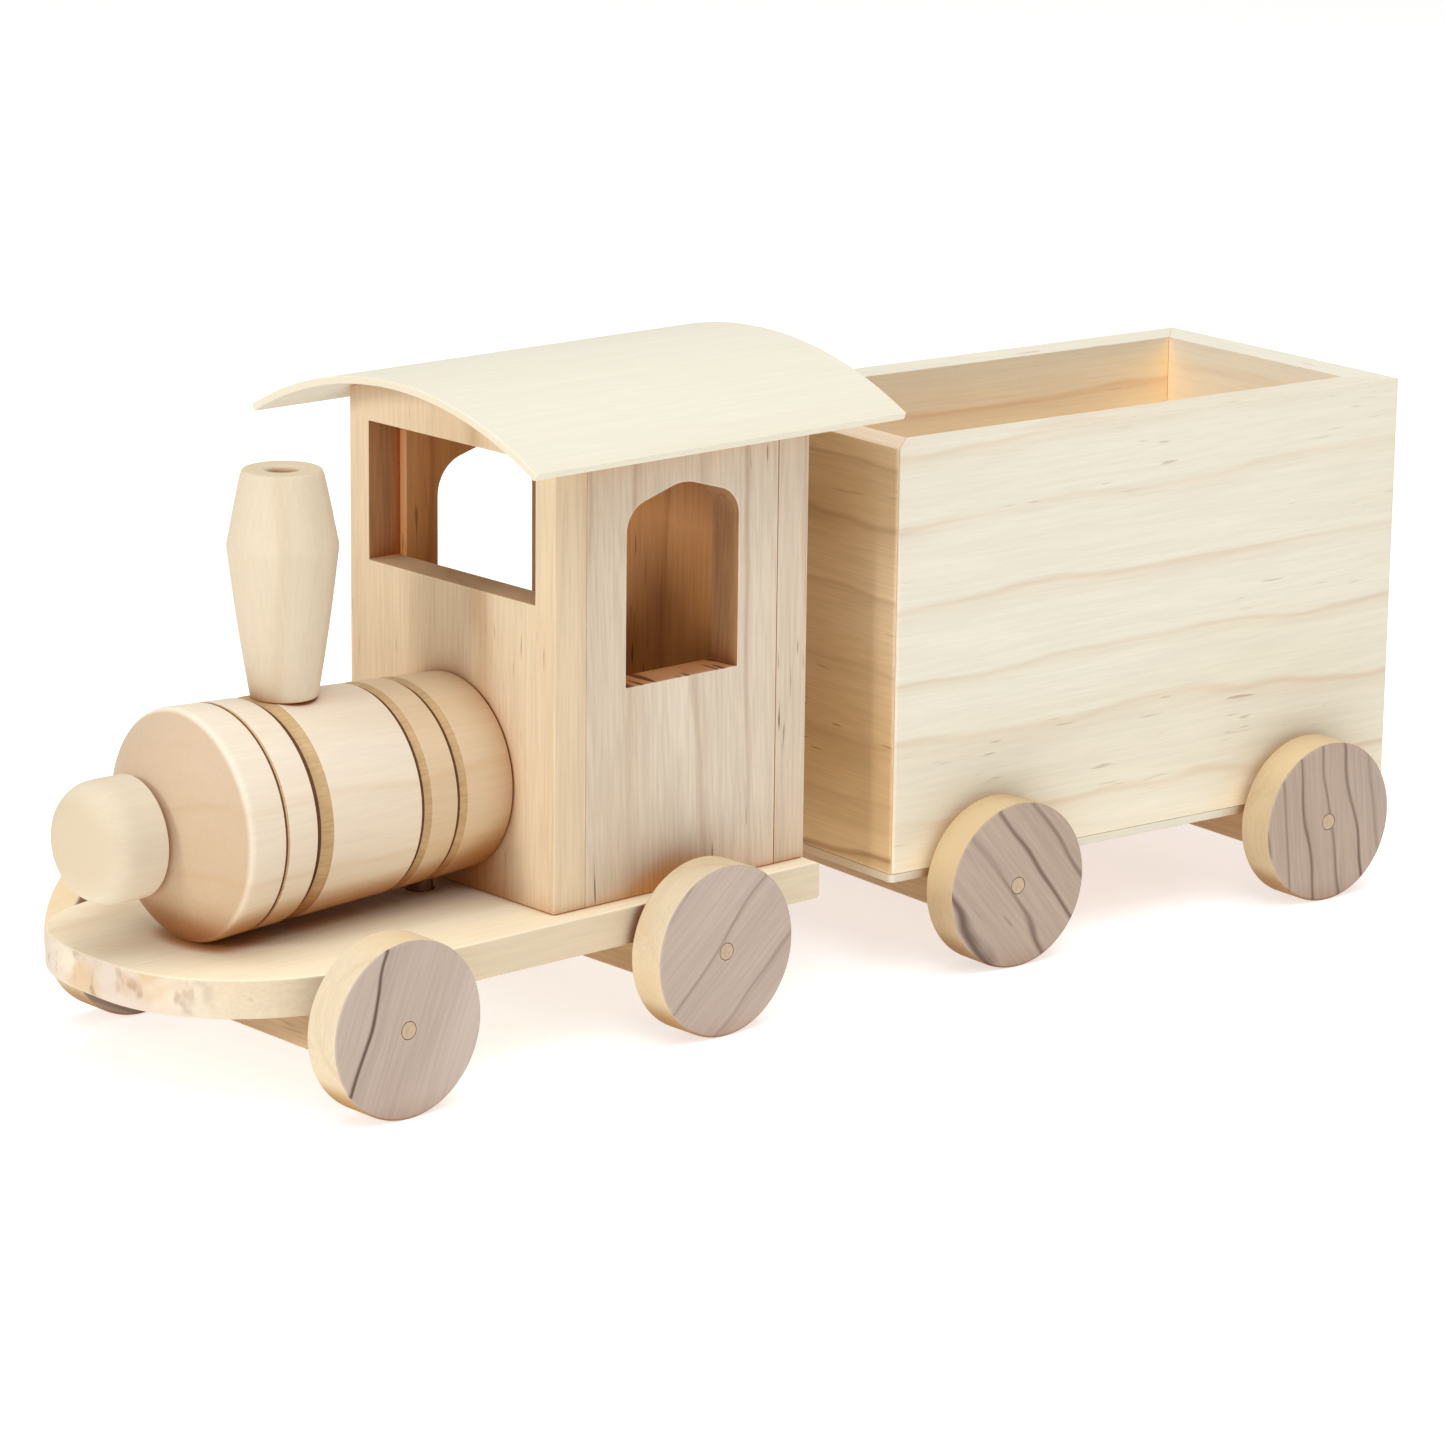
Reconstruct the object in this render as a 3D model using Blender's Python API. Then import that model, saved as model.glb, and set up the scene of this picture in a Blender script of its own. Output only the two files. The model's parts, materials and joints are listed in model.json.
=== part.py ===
"""Wooden toy train: a box car and the locomotive coupled to it, one object per piece.

Lengths below are millimetres and are scaled once, where a mesh is made. The X axis runs along the
box car with the locomotive at the -X end, Z is up and the rails' level is Z = 0. Car pieces and
locomotive pieces are both written from the coupling pin, so X = 0 is the pin until the last step
centres the whole train on the origin.
"""

import math

import bmesh
import bpy
import numpy as np
from mathutils import Matrix, Vector

MM = 0.001
GAP = 0.3  # left between two pieces that touch
OVERRUN = 5.0  # how far a cutter reaches past the face that it opens
CHAMFER = 0.5  # small chamfers on turned pieces

# Wheels and axles, the same under both vehicles
WHEEL_RADIUS = 20.0
WHEEL_WIDTH = 10.0
WHEEL_EASE = 1.2
WHEEL_CLEAR = 2.1  # from the body's side to the wheel
AXLE_RADIUS = 2.0
AXLE_CHAMFER = 0.4
BLOCK_LENGTH = 16.0
BLOCK_BOTTOM = 11.0
UNDERSIDE = WHEEL_RADIUS + AXLE_RADIUS + GAP  # underside of the base and of the car's floor

# Box car
CAR_FRONT = 12.6
CAR_LENGTH = 157.1
CAR_HALF_WIDTH = 42.2
CAR_TOP = 125.5
CAR_WALL = 10.0
CAR_FLOOR = 2.0
CAR_REBATE = 0.3  # how much lower the floor's rim lies, under the walls
CAR_CORNER = 1.5
CAR_EASE = 1.0
CAR_BLOCK_INSET = 1.7
CAR_AXLES = (41.3, 140.2)

# Locomotive
YAW = math.radians(5.06)  # the locomotive stands a little turned on the coupling
BASE_REAR = -12.6
BASE_TIP = -185.0
BASE_ROUND = 52.0  # length of the rounded front end
BASE_HALF_WIDTH = 41.7
BASE_TOP = 31.2
BASE_EASE = 0.8
BASE_BLOCK_INSET = 4.0
LOCO_AXLES = (-142.9, -51.85)

BOILER_FRONT = -162.9
BOILER_REAR = -88.3
BOILER_FRONT_RADIUS = 26.0
BOILER_REAR_RADIUS = 22.6
BOILER_AXIS = BASE_TOP + GAP + BOILER_FRONT_RADIUS
NOSE_TIP = -175.7
NOSE_RADIUS = 10.6
# centre, half width and depth of each turned groove
GROOVES = ((-153.4, 0.45, 0.25), (-142.8, 2.2, 1.4), (-113.8, 1.4, 0.8), (-103.4, 1.4, 0.8))
GROOVE_LEAN = 0.1  # slope of a groove's front side; its rear side slopes over the whole width
KNOB_FRONT = -191.7
KNOB_RADIUS = 13.6
KNOB_ROUND = 8.0
KNOB_SPIGOT = (4.0, 9.0)  # radius and length

CHIMNEY_X = -134.8
CHIMNEY_SEAT = 82.0
CHIMNEY_WAIST = 115.8
CHIMNEY_TOP = 132.8
CHIMNEY_RADII = (7.5, 12.3, 8.9)  # seat, waist and top
CHIMNEY_SWELL = (0.25, 0.1)
CHIMNEY_BORE = (3.4, 9.0)
CHIMNEY_SPIGOT = (3.5, 9.0)
PEG_RADIUS = 3.0
PEGS = {"front": (-158.0, 44.0), "rear": (-97.0, 48.0)}

CAB_FRONT = -88.0
CAB_REAR = -12.9
CAB_HALF_WIDTH = 36.35
PANEL = 9.1
WINDOW_HALF_WIDTH = 29.5
WINDOW_HEIGHTS = (100.8, 133.0)
# each side window's front jamb, rear jamb and shoulder radius: they were cut by hand
SIDE_WINDOWS = {"near": (-67.1, -34.1, 7.0), "far": (-69.5, -34.1, 9.0)}
ARCH_HEIGHTS = (80.2, 120.3, 125.2)  # sill, shoulder and peak
ARCH_PEAK_RADIUS = 12.0
ROOF_ENDS = (-105.2, 4.1)
ROOF_HALF_WIDTH = 50.4
ROOF_RADIUS = 105.4
ROOF_TOP = 148.5
ROOF_SHEET = 1.8

# Coupling: a bent wire hook on the car drops through a wire eye on the locomotive
WIRE = 0.8
EYE_RING = 3.4
EYE_HEIGHT = 26.7
HOOK_HEIGHT = 30.4
HOOK_BEND = 2.2
HOOK_BOTTOM = 22.9
SHANK_DEPTH = 7.0

PINE = (0.80, 0.66, 0.46, 1.0)
PALE = (0.90, 0.82, 0.64, 1.0)
WARM = (0.76, 0.58, 0.38, 1.0)
END_GRAIN = (0.62, 0.50, 0.38, 1.0)
STEEL = (0.55, 0.55, 0.57, 1.0)


def clear_scene():
    for old in list(bpy.data.objects):
        bpy.data.objects.remove(old, do_unlink=True)


def material(name, colour, metallic=0.0, roughness=0.7):
    made = bpy.data.materials.new(name)
    made.use_nodes = True
    shader = made.node_tree.nodes["Principled BSDF"]
    shader.inputs["Base Color"].default_value = colour
    shader.inputs["Metallic"].default_value = metallic
    shader.inputs["Roughness"].default_value = roughness
    return made


def empty(name, place, parent=None, turn=0.0):
    made = bpy.data.objects.new(name, None)
    bpy.context.scene.collection.objects.link(made)
    made.empty_display_size = 10 * MM
    made.parent = parent
    made.location = Vector(place) * MM
    made.rotation_euler = (0.0, 0.0, turn)
    return made


def solid(name, points, faces, parent, colour, smooth=False, metallic=0.0):
    """An object from points in millimetres, its faces turned outwards."""
    mesh = bpy.data.meshes.new(name)
    mesh.from_pydata([tuple(c * MM for c in p) for p in points], [], faces)
    work = bmesh.new()
    work.from_mesh(mesh)
    bmesh.ops.remove_doubles(work, verts=work.verts, dist=1e-7)
    bmesh.ops.recalc_face_normals(work, faces=work.faces)
    if work.calc_volume(signed=True) < 0:
        bmesh.ops.reverse_faces(work, faces=work.faces)
    work.to_mesh(mesh)
    work.free()
    if smooth:
        for face in mesh.polygons:
            face.use_smooth = True
        mesh.set_sharp_from_angle(angle=math.radians(32))
    made = bpy.data.objects.new(name, mesh)
    bpy.context.scene.collection.objects.link(made)
    made.parent = parent
    mesh.materials.append(material(name, colour, metallic, 0.35 if metallic else 0.7))
    return made


def placed(axis, along, u, v):
    """The point at `along` on the axis, with u and v on the other two in order."""
    return {"X": (along, u, v), "Y": (u, along, v), "Z": (u, v, along)}[axis]


def extruded(name, outline, axis, low, high, parent, colour, smooth=False):
    """A prism of a closed outline between low and high along an axis."""
    count = len(outline)
    points = [placed(axis, at, u, v) for at in (low, high) for u, v in outline]
    faces = [tuple(range(count)), tuple(range(2 * count - 1, count - 1, -1))]
    for i in range(count):
        j = (i + 1) % count
        faces.append((i, j, count + j, count + i))
    return solid(name, points, faces, parent, colour, smooth)


def box(name, low, high, parent, colour):
    outline = [(low[0], low[1]), (high[0], low[1]), (high[0], high[1]), (low[0], high[1])]
    return extruded(name, outline, "Z", low[2], high[2], parent, colour)


def turned(name, profile, axis, centre, parent, colour, segments=48, ring=False):
    """A turned piece from (along, radius) pairs. A ring's profile closes on itself."""
    points = []
    rows = []
    for along, radius in profile:
        if radius == 0.0:
            rows.append([len(points)] * segments)
            points.append(placed(axis, along, *centre))
            continue
        rows.append(list(range(len(points), len(points) + segments)))
        for k in range(segments):
            angle = 2 * math.pi * k / segments
            u = centre[0] + radius * math.cos(angle)
            v = centre[1] + radius * math.sin(angle)
            points.append(placed(axis, along, u, v))
    pairs = list(zip(rows, rows[1:]))
    if ring:
        pairs.append((rows[-1], rows[0]))
    faces = []
    for one, two in pairs:
        for k in range(segments):
            n = (k + 1) % segments
            corners = list(dict.fromkeys((one[k], one[n], two[n], two[k])))
            if len(corners) > 2:
                faces.append(tuple(corners))
    return solid(name, points, faces, parent, colour, smooth=True)


def rod(name, axis, low, high, radius, centre, parent, colour, chamfer=0.0, segments=24):
    if chamfer:
        profile = [(low, radius - chamfer), (low + chamfer, radius)]
        profile += [(high - chamfer, radius), (high, radius - chamfer)]
    else:
        profile = [(low, radius), (high, radius)]
    profile = [(low, 0.0)] + profile + [(high, 0.0)]
    return turned(name, profile, axis, centre, parent, colour, segments)


def wire(name, path, radius, parent, colour, segments=10):
    """A round wire along a path, its ring of points carried without twist."""
    path = [Vector(p) for p in path]
    count = len(path)
    points = []
    side = (path[1] - path[0]).orthogonal().normalized()
    for i, here in enumerate(path):
        along = (path[min(i + 1, count - 1)] - path[max(i - 1, 0)]).normalized()
        side = (side - along * side.dot(along)).normalized()
        over = along.cross(side)
        for k in range(segments):
            angle = 2 * math.pi * k / segments
            points.append(here + radius * (math.cos(angle) * side + math.sin(angle) * over))
    last = (count - 1) * segments
    faces = [tuple(range(segments)), tuple(range(last, last + segments))]
    for one in range(0, last, segments):
        two = one + segments
        for k in range(segments):
            n = (k + 1) % segments
            faces.append((one + k, one + n, two + n, two + k))
    return solid(name, points, faces, parent, colour, smooth=True, metallic=1.0)


def rounded(corners, radii, steps=8):
    """A closed outline with each corner replaced by an arc of its own radius."""
    outline = []
    count = len(corners)
    for i, radius in enumerate(radii):
        here = Vector(corners[i])
        back = (Vector(corners[i - 1]) - here).normalized()
        ahead = (Vector(corners[(i + 1) % count]) - here).normalized()
        if radius == 0.0:
            outline.append(tuple(here))
            continue
        half = math.acos(max(-1.0, min(1.0, back.dot(ahead)))) / 2
        centre = here + (back + ahead).normalized() * (radius / math.sin(half))
        reach = radius / math.tan(half)
        start = here + back * reach - centre
        sweep = start.angle_signed(here + ahead * reach - centre)
        for k in range(steps + 1):
            turn = Matrix.Rotation(-sweep * k / steps, 2)
            outline.append(tuple(centre + turn @ start))
    return outline


def cut(target, cutter):
    """Takes the cutter out of the target with an exact Boolean and hides it."""
    cutter.hide_render = True
    cutter.display_type = "WIRE"
    step = target.modifiers.new(cutter.name, "BOOLEAN")
    step.operation = "DIFFERENCE"
    step.solver = "EXACT"
    step.object = cutter


def ease(target, width, chosen, segments=2):
    """Rounds the edges whose two ends, in millimetres, satisfy chosen(a, b)."""
    work = bmesh.new()
    work.from_mesh(target.data)
    weight = work.edges.layers.float.new("bevel_weight_edge")
    for edge in work.edges:
        a, b = (vert.co / MM for vert in edge.verts)
        edge[weight] = float(chosen(a, b))
    work.to_mesh(target.data)
    work.free()
    step = target.modifiers.new("ease", "BEVEL")
    step.limit_method = "WEIGHT"
    step.width = width * MM
    step.segments = segments


def wheelset(prefix, axle_x, half_width, frame):
    """An axle and its two wheels under an empty on the axle's centre line."""
    line = empty(prefix + "_line", (axle_x, 0.0, WHEEL_RADIUS), frame)
    inner = half_width + WHEEL_CLEAR
    outer = inner + WHEEL_WIDTH
    bore = AXLE_RADIUS + GAP
    e = WHEEL_EASE
    arc = [(e * (1 - math.sin(t)), e * (1 - math.cos(t))) for t in np.linspace(0, math.pi / 2, 4)]
    rim = [(inner + a, WHEEL_RADIUS - b) for a, b in reversed(arc)]
    rim += [(outer - a, WHEEL_RADIUS - b) for a, b in arc]
    for side, sign in (("near", -1), ("far", 1)):
        profile = [(sign * y, r) for y, r in [(inner, bore)] + rim + [(outer, bore)]]
        turned(f"{prefix}_wheel_{side}", profile, "Y", (0, 0), line, END_GRAIN, 52, ring=True)
    rod(f"{prefix}_axle", "Y", -outer, outer, AXLE_RADIUS, (0, 0), line, PALE, AXLE_CHAMFER)


def axle_block(name, axle_x, half_width, frame):
    """A cross block with a round-bottomed slot for the axle, closed by the board above it."""
    top = UNDERSIDE - GAP
    slot = AXLE_RADIUS + GAP
    half = BLOCK_LENGTH / 2
    arc = [
        (axle_x + slot * math.cos(t), WHEEL_RADIUS + slot * math.sin(t))
        for t in np.linspace(0, -math.pi, 13)
    ]
    outline = [(axle_x - half, BLOCK_BOTTOM), (axle_x + half, BLOCK_BOTTOM)]
    outline += [(axle_x + half, top), (axle_x + slot, top)] + arc
    outline += [(axle_x - slot, top), (axle_x - half, top)]
    extruded(name, outline, "Y", -half_width, half_width, frame, PINE)


def wall_outline(length, depth, corner):
    """Plan of one mitred board lying along X with its outer face at Y = 0, the inside at +Y."""
    half = length / 2
    shift = GAP * math.sqrt(0.5)
    reach = corner * (1 - math.sqrt(0.5))
    quarter = [corner * (1 - math.cos(t)) for t in np.linspace(0, math.pi / 4, 4)]
    across = [corner * (1 - math.sin(t)) for t in np.linspace(0, math.pi / 4, 4)]
    right = [(half - a, y) for a, y in zip(across, quarter)]
    right[-1] = (half - reach - shift, reach)
    right.append((half - depth - shift, depth))
    return right + [(-x, y) for x, y in reversed(right)]


def build_car(frame):
    rear = CAR_FRONT + CAR_LENGTH
    middle = CAR_FRONT + CAR_LENGTH / 2
    low = UNDERSIDE + CAR_FLOOR + GAP
    side = wall_outline(CAR_LENGTH, CAR_WALL, CAR_CORNER)
    end = wall_outline(2 * CAR_HALF_WIDTH, CAR_WALL, CAR_CORNER)
    plans = {
        "car_side_wall_near": [(middle + u, -CAR_HALF_WIDTH + v) for u, v in side],
        "car_side_wall_far": [(middle + u, CAR_HALF_WIDTH - v) for u, v in side],
        "car_front_wall": [(CAR_FRONT + v, u) for u, v in end],
        "car_rear_wall": [(rear - v, u) for u, v in end],
    }
    walls = {}
    for name, plan in plans.items():
        wall = extruded(name, plan, "Z", low, CAR_TOP, frame, PALE, smooth=True)
        walls[name] = wall
    for name, wall in walls.items():
        longer = 40.0 if "side" in name else 20.0

        def long_top_edge(a, b, longer=longer):
            return min(a.z, b.z) > CAR_TOP - 0.01 and (a - b).length > longer

        ease(wall, CAR_EASE, long_top_edge)
    socket = rod(
        "cut_hook_socket", "X", CAR_FRONT - OVERRUN, CAR_FRONT + SHANK_DEPTH + GAP, WIRE + GAP,
        (0.0, HOOK_HEIGHT), frame, PINE, segments=20,
    )
    cut(walls["car_front_wall"], socket)

    floor = rounded(
        [
            (CAR_FRONT, -CAR_HALF_WIDTH), (rear, -CAR_HALF_WIDTH),
            (rear, CAR_HALF_WIDTH), (CAR_FRONT, CAR_HALF_WIDTH),
        ],
        [CAR_CORNER] * 4, 5,
    )
    top = UNDERSIDE + CAR_FLOOR
    sheet = extruded(
        "car_floor", floor, "Z", UNDERSIDE, top + CAR_REBATE, frame, PALE, smooth=True
    )
    inset = CAR_WALL + GAP
    bed_y = CAR_HALF_WIDTH - inset
    past_y = CAR_HALF_WIDTH + OVERRUN
    past_x = (CAR_FRONT - OVERRUN, rear + OVERRUN)
    rebates = {
        "near": ((past_x[0], -past_y), (past_x[1], -bed_y)),
        "far": ((past_x[0], bed_y), (past_x[1], past_y)),
        "front": ((past_x[0], -past_y), (CAR_FRONT + inset, past_y)),
        "rear": ((rear - inset, -past_y), (past_x[1], past_y)),
    }
    for name, (low_xy, high_xy) in rebates.items():
        strip = box(f"cut_rebate_{name}", (*low_xy, top), (*high_xy, top + OVERRUN), frame, PALE)
        cut(sheet, strip)
    for name, axle_x in zip(("front", "rear"), CAR_AXLES):
        axle_block(f"car_axle_block_{name}", axle_x, CAR_HALF_WIDTH - CAR_BLOCK_INSET, frame)
        wheelset(f"car_{name}", axle_x, CAR_HALF_WIDTH, frame)

    bend = HOOK_BEND
    path = [(CAR_FRONT + SHANK_DEPTH, 0.0, HOOK_HEIGHT), (2 * HOOK_BEND, 0.0, HOOK_HEIGHT)]
    for t in np.linspace(0, math.pi / 2, 7):
        path.append((bend * (1 - math.sin(t)), 0.0, HOOK_HEIGHT - bend * (1 - math.cos(t))))
    path.append((0.0, 0.0, HOOK_BOTTOM))
    wire("car_coupling_hook", path, WIRE, frame, STEEL)


def base_outline():
    """Plan of the base board: square at the rear, rounded at the front, fuller on the far side."""
    centre = BASE_TIP + BASE_ROUND
    outline = [(BASE_REAR, -BASE_HALF_WIDTH), (BASE_REAR, BASE_HALF_WIDTH)]
    for t in np.linspace(math.pi / 2, -math.pi / 2, 49):
        power = 3.2 if t > 0 else 2.2
        x = centre - BASE_ROUND * abs(math.cos(t)) ** (2 / power)
        y = BASE_HALF_WIDTH * math.copysign(abs(math.sin(t)) ** (2 / power), math.sin(t))
        outline.append((x, y))
    return outline


def boiler_radius(x):
    share = (x - BOILER_FRONT) / (BOILER_REAR - BOILER_FRONT)
    return BOILER_FRONT_RADIUS + share * (BOILER_REAR_RADIUS - BOILER_FRONT_RADIUS)


def roof_height(y, drop=0.0):
    """Height of the roof's upper face at y, or of a face lying `drop` below it."""
    radius = ROOF_RADIUS - drop
    return ROOF_TOP - ROOF_RADIUS + math.sqrt(radius * radius - y * y)


def build_engine(frame):
    """The base with the boiler, its knob and its chimney."""
    base = extruded(
        "loco_base", base_outline(), "Z", UNDERSIDE, BASE_TOP, frame, PALE, smooth=True
    )

    def upright(a, b):
        return abs(a.z - b.z) > 1.0

    ease(base, BASE_EASE, lambda a, b: not upright(a, b))

    profile = [(NOSE_TIP, 0.0), (NOSE_TIP, NOSE_RADIUS - 0.6), (NOSE_TIP + 0.5, NOSE_RADIUS)]
    profile += [(BOILER_FRONT - 0.4, BOILER_FRONT_RADIUS - 0.5)]
    profile += [(BOILER_FRONT + 0.5, boiler_radius(BOILER_FRONT + 0.5))]
    for centre, half, depth in GROOVES:
        start = centre - half
        profile.append((start, boiler_radius(start)))
        profile.append((start + GROOVE_LEAN, boiler_radius(start) - depth))
        profile.append((centre + half, boiler_radius(centre + half)))
    profile += [(BOILER_REAR, BOILER_REAR_RADIUS), (BOILER_REAR, 0.0)]
    boiler = turned("boiler", profile, "X", (0.0, BOILER_AXIS), frame, PINE, 64)

    radius, length = KNOB_SPIGOT
    back = NOSE_TIP - GAP
    knob = [(KNOB_FRONT, 0.0)]
    for t in np.linspace(0, math.pi / 2, 9):
        x = KNOB_FRONT + KNOB_ROUND * (1 - math.cos(t))
        knob.append((x, KNOB_RADIUS - KNOB_ROUND * (1 - math.sin(t))))
    knob += [(back - CHAMFER, KNOB_RADIUS), (back, KNOB_RADIUS - CHAMFER), (back, radius)]
    end = back + length
    knob += [(end - CHAMFER, radius), (end, radius - CHAMFER), (end, 0.0)]
    turned("boiler_knob", knob, "X", (0.0, BOILER_AXIS), frame, PALE, 48)
    hole = rod(
        "cut_knob_hole", "X", NOSE_TIP - OVERRUN, back + length + GAP, radius + GAP,
        (0.0, BOILER_AXIS), frame, PINE,
    )
    cut(boiler, hole)

    seat, waist, top = CHIMNEY_RADII
    bore, bore_depth = CHIMNEY_BORE
    spigot, spigot_length = CHIMNEY_SPIGOT
    foot = CHIMNEY_SEAT - spigot_length
    chimney = [(foot, 0.0), (foot, spigot - CHAMFER), (foot + CHAMFER, spigot)]
    chimney.append((CHIMNEY_SEAT, spigot))
    chimney += [(CHIMNEY_SEAT, seat)]
    for share in np.linspace(0.0, 0.94, 9):
        bulge = CHIMNEY_SWELL[0] * math.sin(math.pi * share)
        z = CHIMNEY_SEAT + share * (CHIMNEY_WAIST - CHIMNEY_SEAT)
        chimney.append((z + 0.01, seat + share * (waist - seat) + bulge))
    chimney.append((CHIMNEY_WAIST, waist))
    for share in np.linspace(0.12, 0.94, 6):
        bulge = CHIMNEY_SWELL[1] * math.sin(math.pi * share)
        z = CHIMNEY_WAIST + share * (CHIMNEY_TOP - CHIMNEY_WAIST)
        chimney.append((z, waist + share * (top - waist) + bulge))
    chimney += [(CHIMNEY_TOP - 0.2, top - 0.4), (CHIMNEY_TOP, top - 1.1)]
    chimney += [(CHIMNEY_TOP, bore + 0.7), (CHIMNEY_TOP - 0.7, bore)]
    chimney += [(CHIMNEY_TOP - bore_depth, bore), (CHIMNEY_TOP - bore_depth - 1.5, 0.0)]
    turned("chimney", chimney, "Z", (CHIMNEY_X, 0.0), frame, PALE, 48)
    crest = BOILER_AXIS + BOILER_FRONT_RADIUS + OVERRUN
    wide = seat + GAP
    narrow = spigot + GAP
    level = CHIMNEY_SEAT - GAP
    step = [(foot - GAP, 0.0), (foot - GAP, narrow), (level, narrow), (level, wide)]
    step += [(crest, wide), (crest, 0.0)]
    seat_cutter = turned("cut_chimney_seat", step, "Z", (CHIMNEY_X, 0.0), frame, PINE, 30)
    cut(boiler, seat_cutter)

    for name, (x, top_z) in PEGS.items():
        rod(
            f"boiler_peg_{name}", "Z", UNDERSIDE, top_z, PEG_RADIUS, (x, 0.0), frame, PALE,
            AXLE_CHAMFER,
        )
        hole = rod(
            f"cut_peg_{name}", "Z", UNDERSIDE - OVERRUN, top_z + GAP, PEG_RADIUS + GAP,
            (x, 0.0), frame, PINE,
        )
        cut(base, hole)
        cut(boiler, hole)
    shank = rod(
        "cut_eye_socket", "X", BASE_REAR - SHANK_DEPTH - GAP, BASE_REAR + OVERRUN, WIRE + GAP,
        (0.0, EYE_HEIGHT), frame, PINE, segments=20,
    )
    cut(base, shank)


def arch_outline(front, rear, shoulder_radius):
    """A window with a level sill, round shoulders and a soft point in the middle."""
    sill, shoulder, peak = ARCH_HEIGHTS
    corners = [(front, sill), (rear, sill), (rear, shoulder)]
    corners += [((front + rear) / 2, peak), (front, shoulder)]
    return rounded(corners, [0.0, 0.0, shoulder_radius, ARCH_PEAK_RADIUS, shoulder_radius])


def build_cab(frame):
    """Four panels and the bent roof sheet that lies over them."""
    foot = BASE_TOP + GAP
    under = ROOF_SHEET + GAP
    arch = np.linspace(CAB_HALF_WIDTH, -CAB_HALF_WIDTH, 25)
    end_outline = [(-CAB_HALF_WIDTH, foot), (CAB_HALF_WIDTH, foot)]
    end_outline += [(y, roof_height(y, under)) for y in arch]
    front = extruded(
        "cab_front_panel", end_outline, "X", CAB_FRONT, CAB_FRONT + PANEL, frame, PINE
    )
    extruded("cab_rear_panel", end_outline, "X", CAB_REAR - PANEL, CAB_REAR, frame, WARM)
    pane = box(
        "cut_front_window", (CAB_FRONT - OVERRUN, -WINDOW_HALF_WIDTH, WINDOW_HEIGHTS[0]),
        (CAB_FRONT + PANEL + OVERRUN, WINDOW_HALF_WIDTH, WINDOW_HEIGHTS[1]), frame, PINE,
    )
    cut(front, pane)

    low_x = CAB_FRONT + PANEL + GAP
    high_x = CAB_REAR - PANEL - GAP
    for name, sign in (("near", -1), ("far", 1)):
        ends = (sign * CAB_HALF_WIDTH, sign * (CAB_HALF_WIDTH - PANEL))
        across = np.linspace(ends[1], ends[0], 4)
        outline = [(ends[0], foot), (ends[1], foot)]
        outline += [(y, roof_height(y, under)) for y in across]
        panel = extruded(
            f"cab_side_panel_{name}", outline, "X", low_x, high_x, frame, PINE
        )
        outside = CAB_HALF_WIDTH + OVERRUN
        inside = CAB_HALF_WIDTH - PANEL - OVERRUN
        deep = sorted((sign * outside, sign * inside))
        window = extruded(
            f"cut_side_window_{name}", arch_outline(*SIDE_WINDOWS[name]), "Y", *deep, frame, PINE
        )
        cut(panel, window)

    upper = [(y, roof_height(y)) for y in np.linspace(-ROOF_HALF_WIDTH, ROOF_HALF_WIDTH, 41)]
    inner = ROOF_HALF_WIDTH * (ROOF_RADIUS - ROOF_SHEET) / ROOF_RADIUS
    lower = [(y, roof_height(y, ROOF_SHEET)) for y in np.linspace(inner, -inner, 41)]
    extruded("cab_roof", upper + lower, "X", *ROOF_ENDS, frame, PALE, smooth=True)


def build_eye(frame):
    """The wire eye: its shank runs out of the base's end and closes round the coupling pin."""
    path = [(BASE_REAR - SHANK_DEPTH, 0.0, EYE_HEIGHT), (BASE_REAR - 1.0, 0.0, EYE_HEIGHT)]
    for t in np.linspace(math.pi, -math.pi * 0.87, 34):
        path.append((EYE_RING * math.cos(t), EYE_RING * math.sin(t), EYE_HEIGHT))
    wire("loco_coupling_eye", path, WIRE, frame, STEEL)


def build_locomotive(frame):
    build_engine(frame)
    build_cab(frame)
    build_eye(frame)
    for name, axle_x in zip(("front", "rear"), LOCO_AXLES):
        axle_block(f"loco_axle_block_{name}", axle_x, BASE_HALF_WIDTH - BASE_BLOCK_INSET, frame)
        wheelset(f"loco_{name}", axle_x, BASE_HALF_WIDTH, frame)


def centre_on_origin(roots):
    """Moves both vehicles so that the train's box is centred on X = Y = 0."""
    bpy.context.view_layer.update()
    graph = bpy.context.evaluated_depsgraph_get()
    found = []
    for obj in bpy.data.objects:
        if obj.type != "MESH" or obj.hide_render:
            continue
        done = obj.evaluated_get(graph)
        found += [tuple(done.matrix_world @ vert.co) for vert in done.data.vertices]
    found = np.array(found)
    middle = (found.min(0) + found.max(0)) / 2
    for root in roots:
        root.location.x -= middle[0]
        root.location.y -= middle[1]
    bpy.context.view_layer.update()


def main():
    clear_scene()
    car = empty("car_frame", (0, 0, 0))
    engine = empty("loco_frame_on_coupling", (0, 0, 0), turn=YAW)
    build_car(car)
    build_locomotive(engine)
    centre_on_origin((car, engine))


main()
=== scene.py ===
"""The looks of a bare wooden toy train: an open box car hooked to its locomotive.

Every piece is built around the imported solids, which stay where they are. The box car and the
locomotive each have a bench, which is their own set of axes: X along the vehicle from the coupling
pin towards its tail, Z up. Lengths are metres and colours are 8-bit sRGB.
"""

from __future__ import annotations

import json
import logging
import math
from collections.abc import Callable, Iterable, Sequence
from dataclasses import dataclass, field, replace
from enum import Enum

import bmesh
import bpy
from mathutils import Euler, Matrix, Vector

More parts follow.
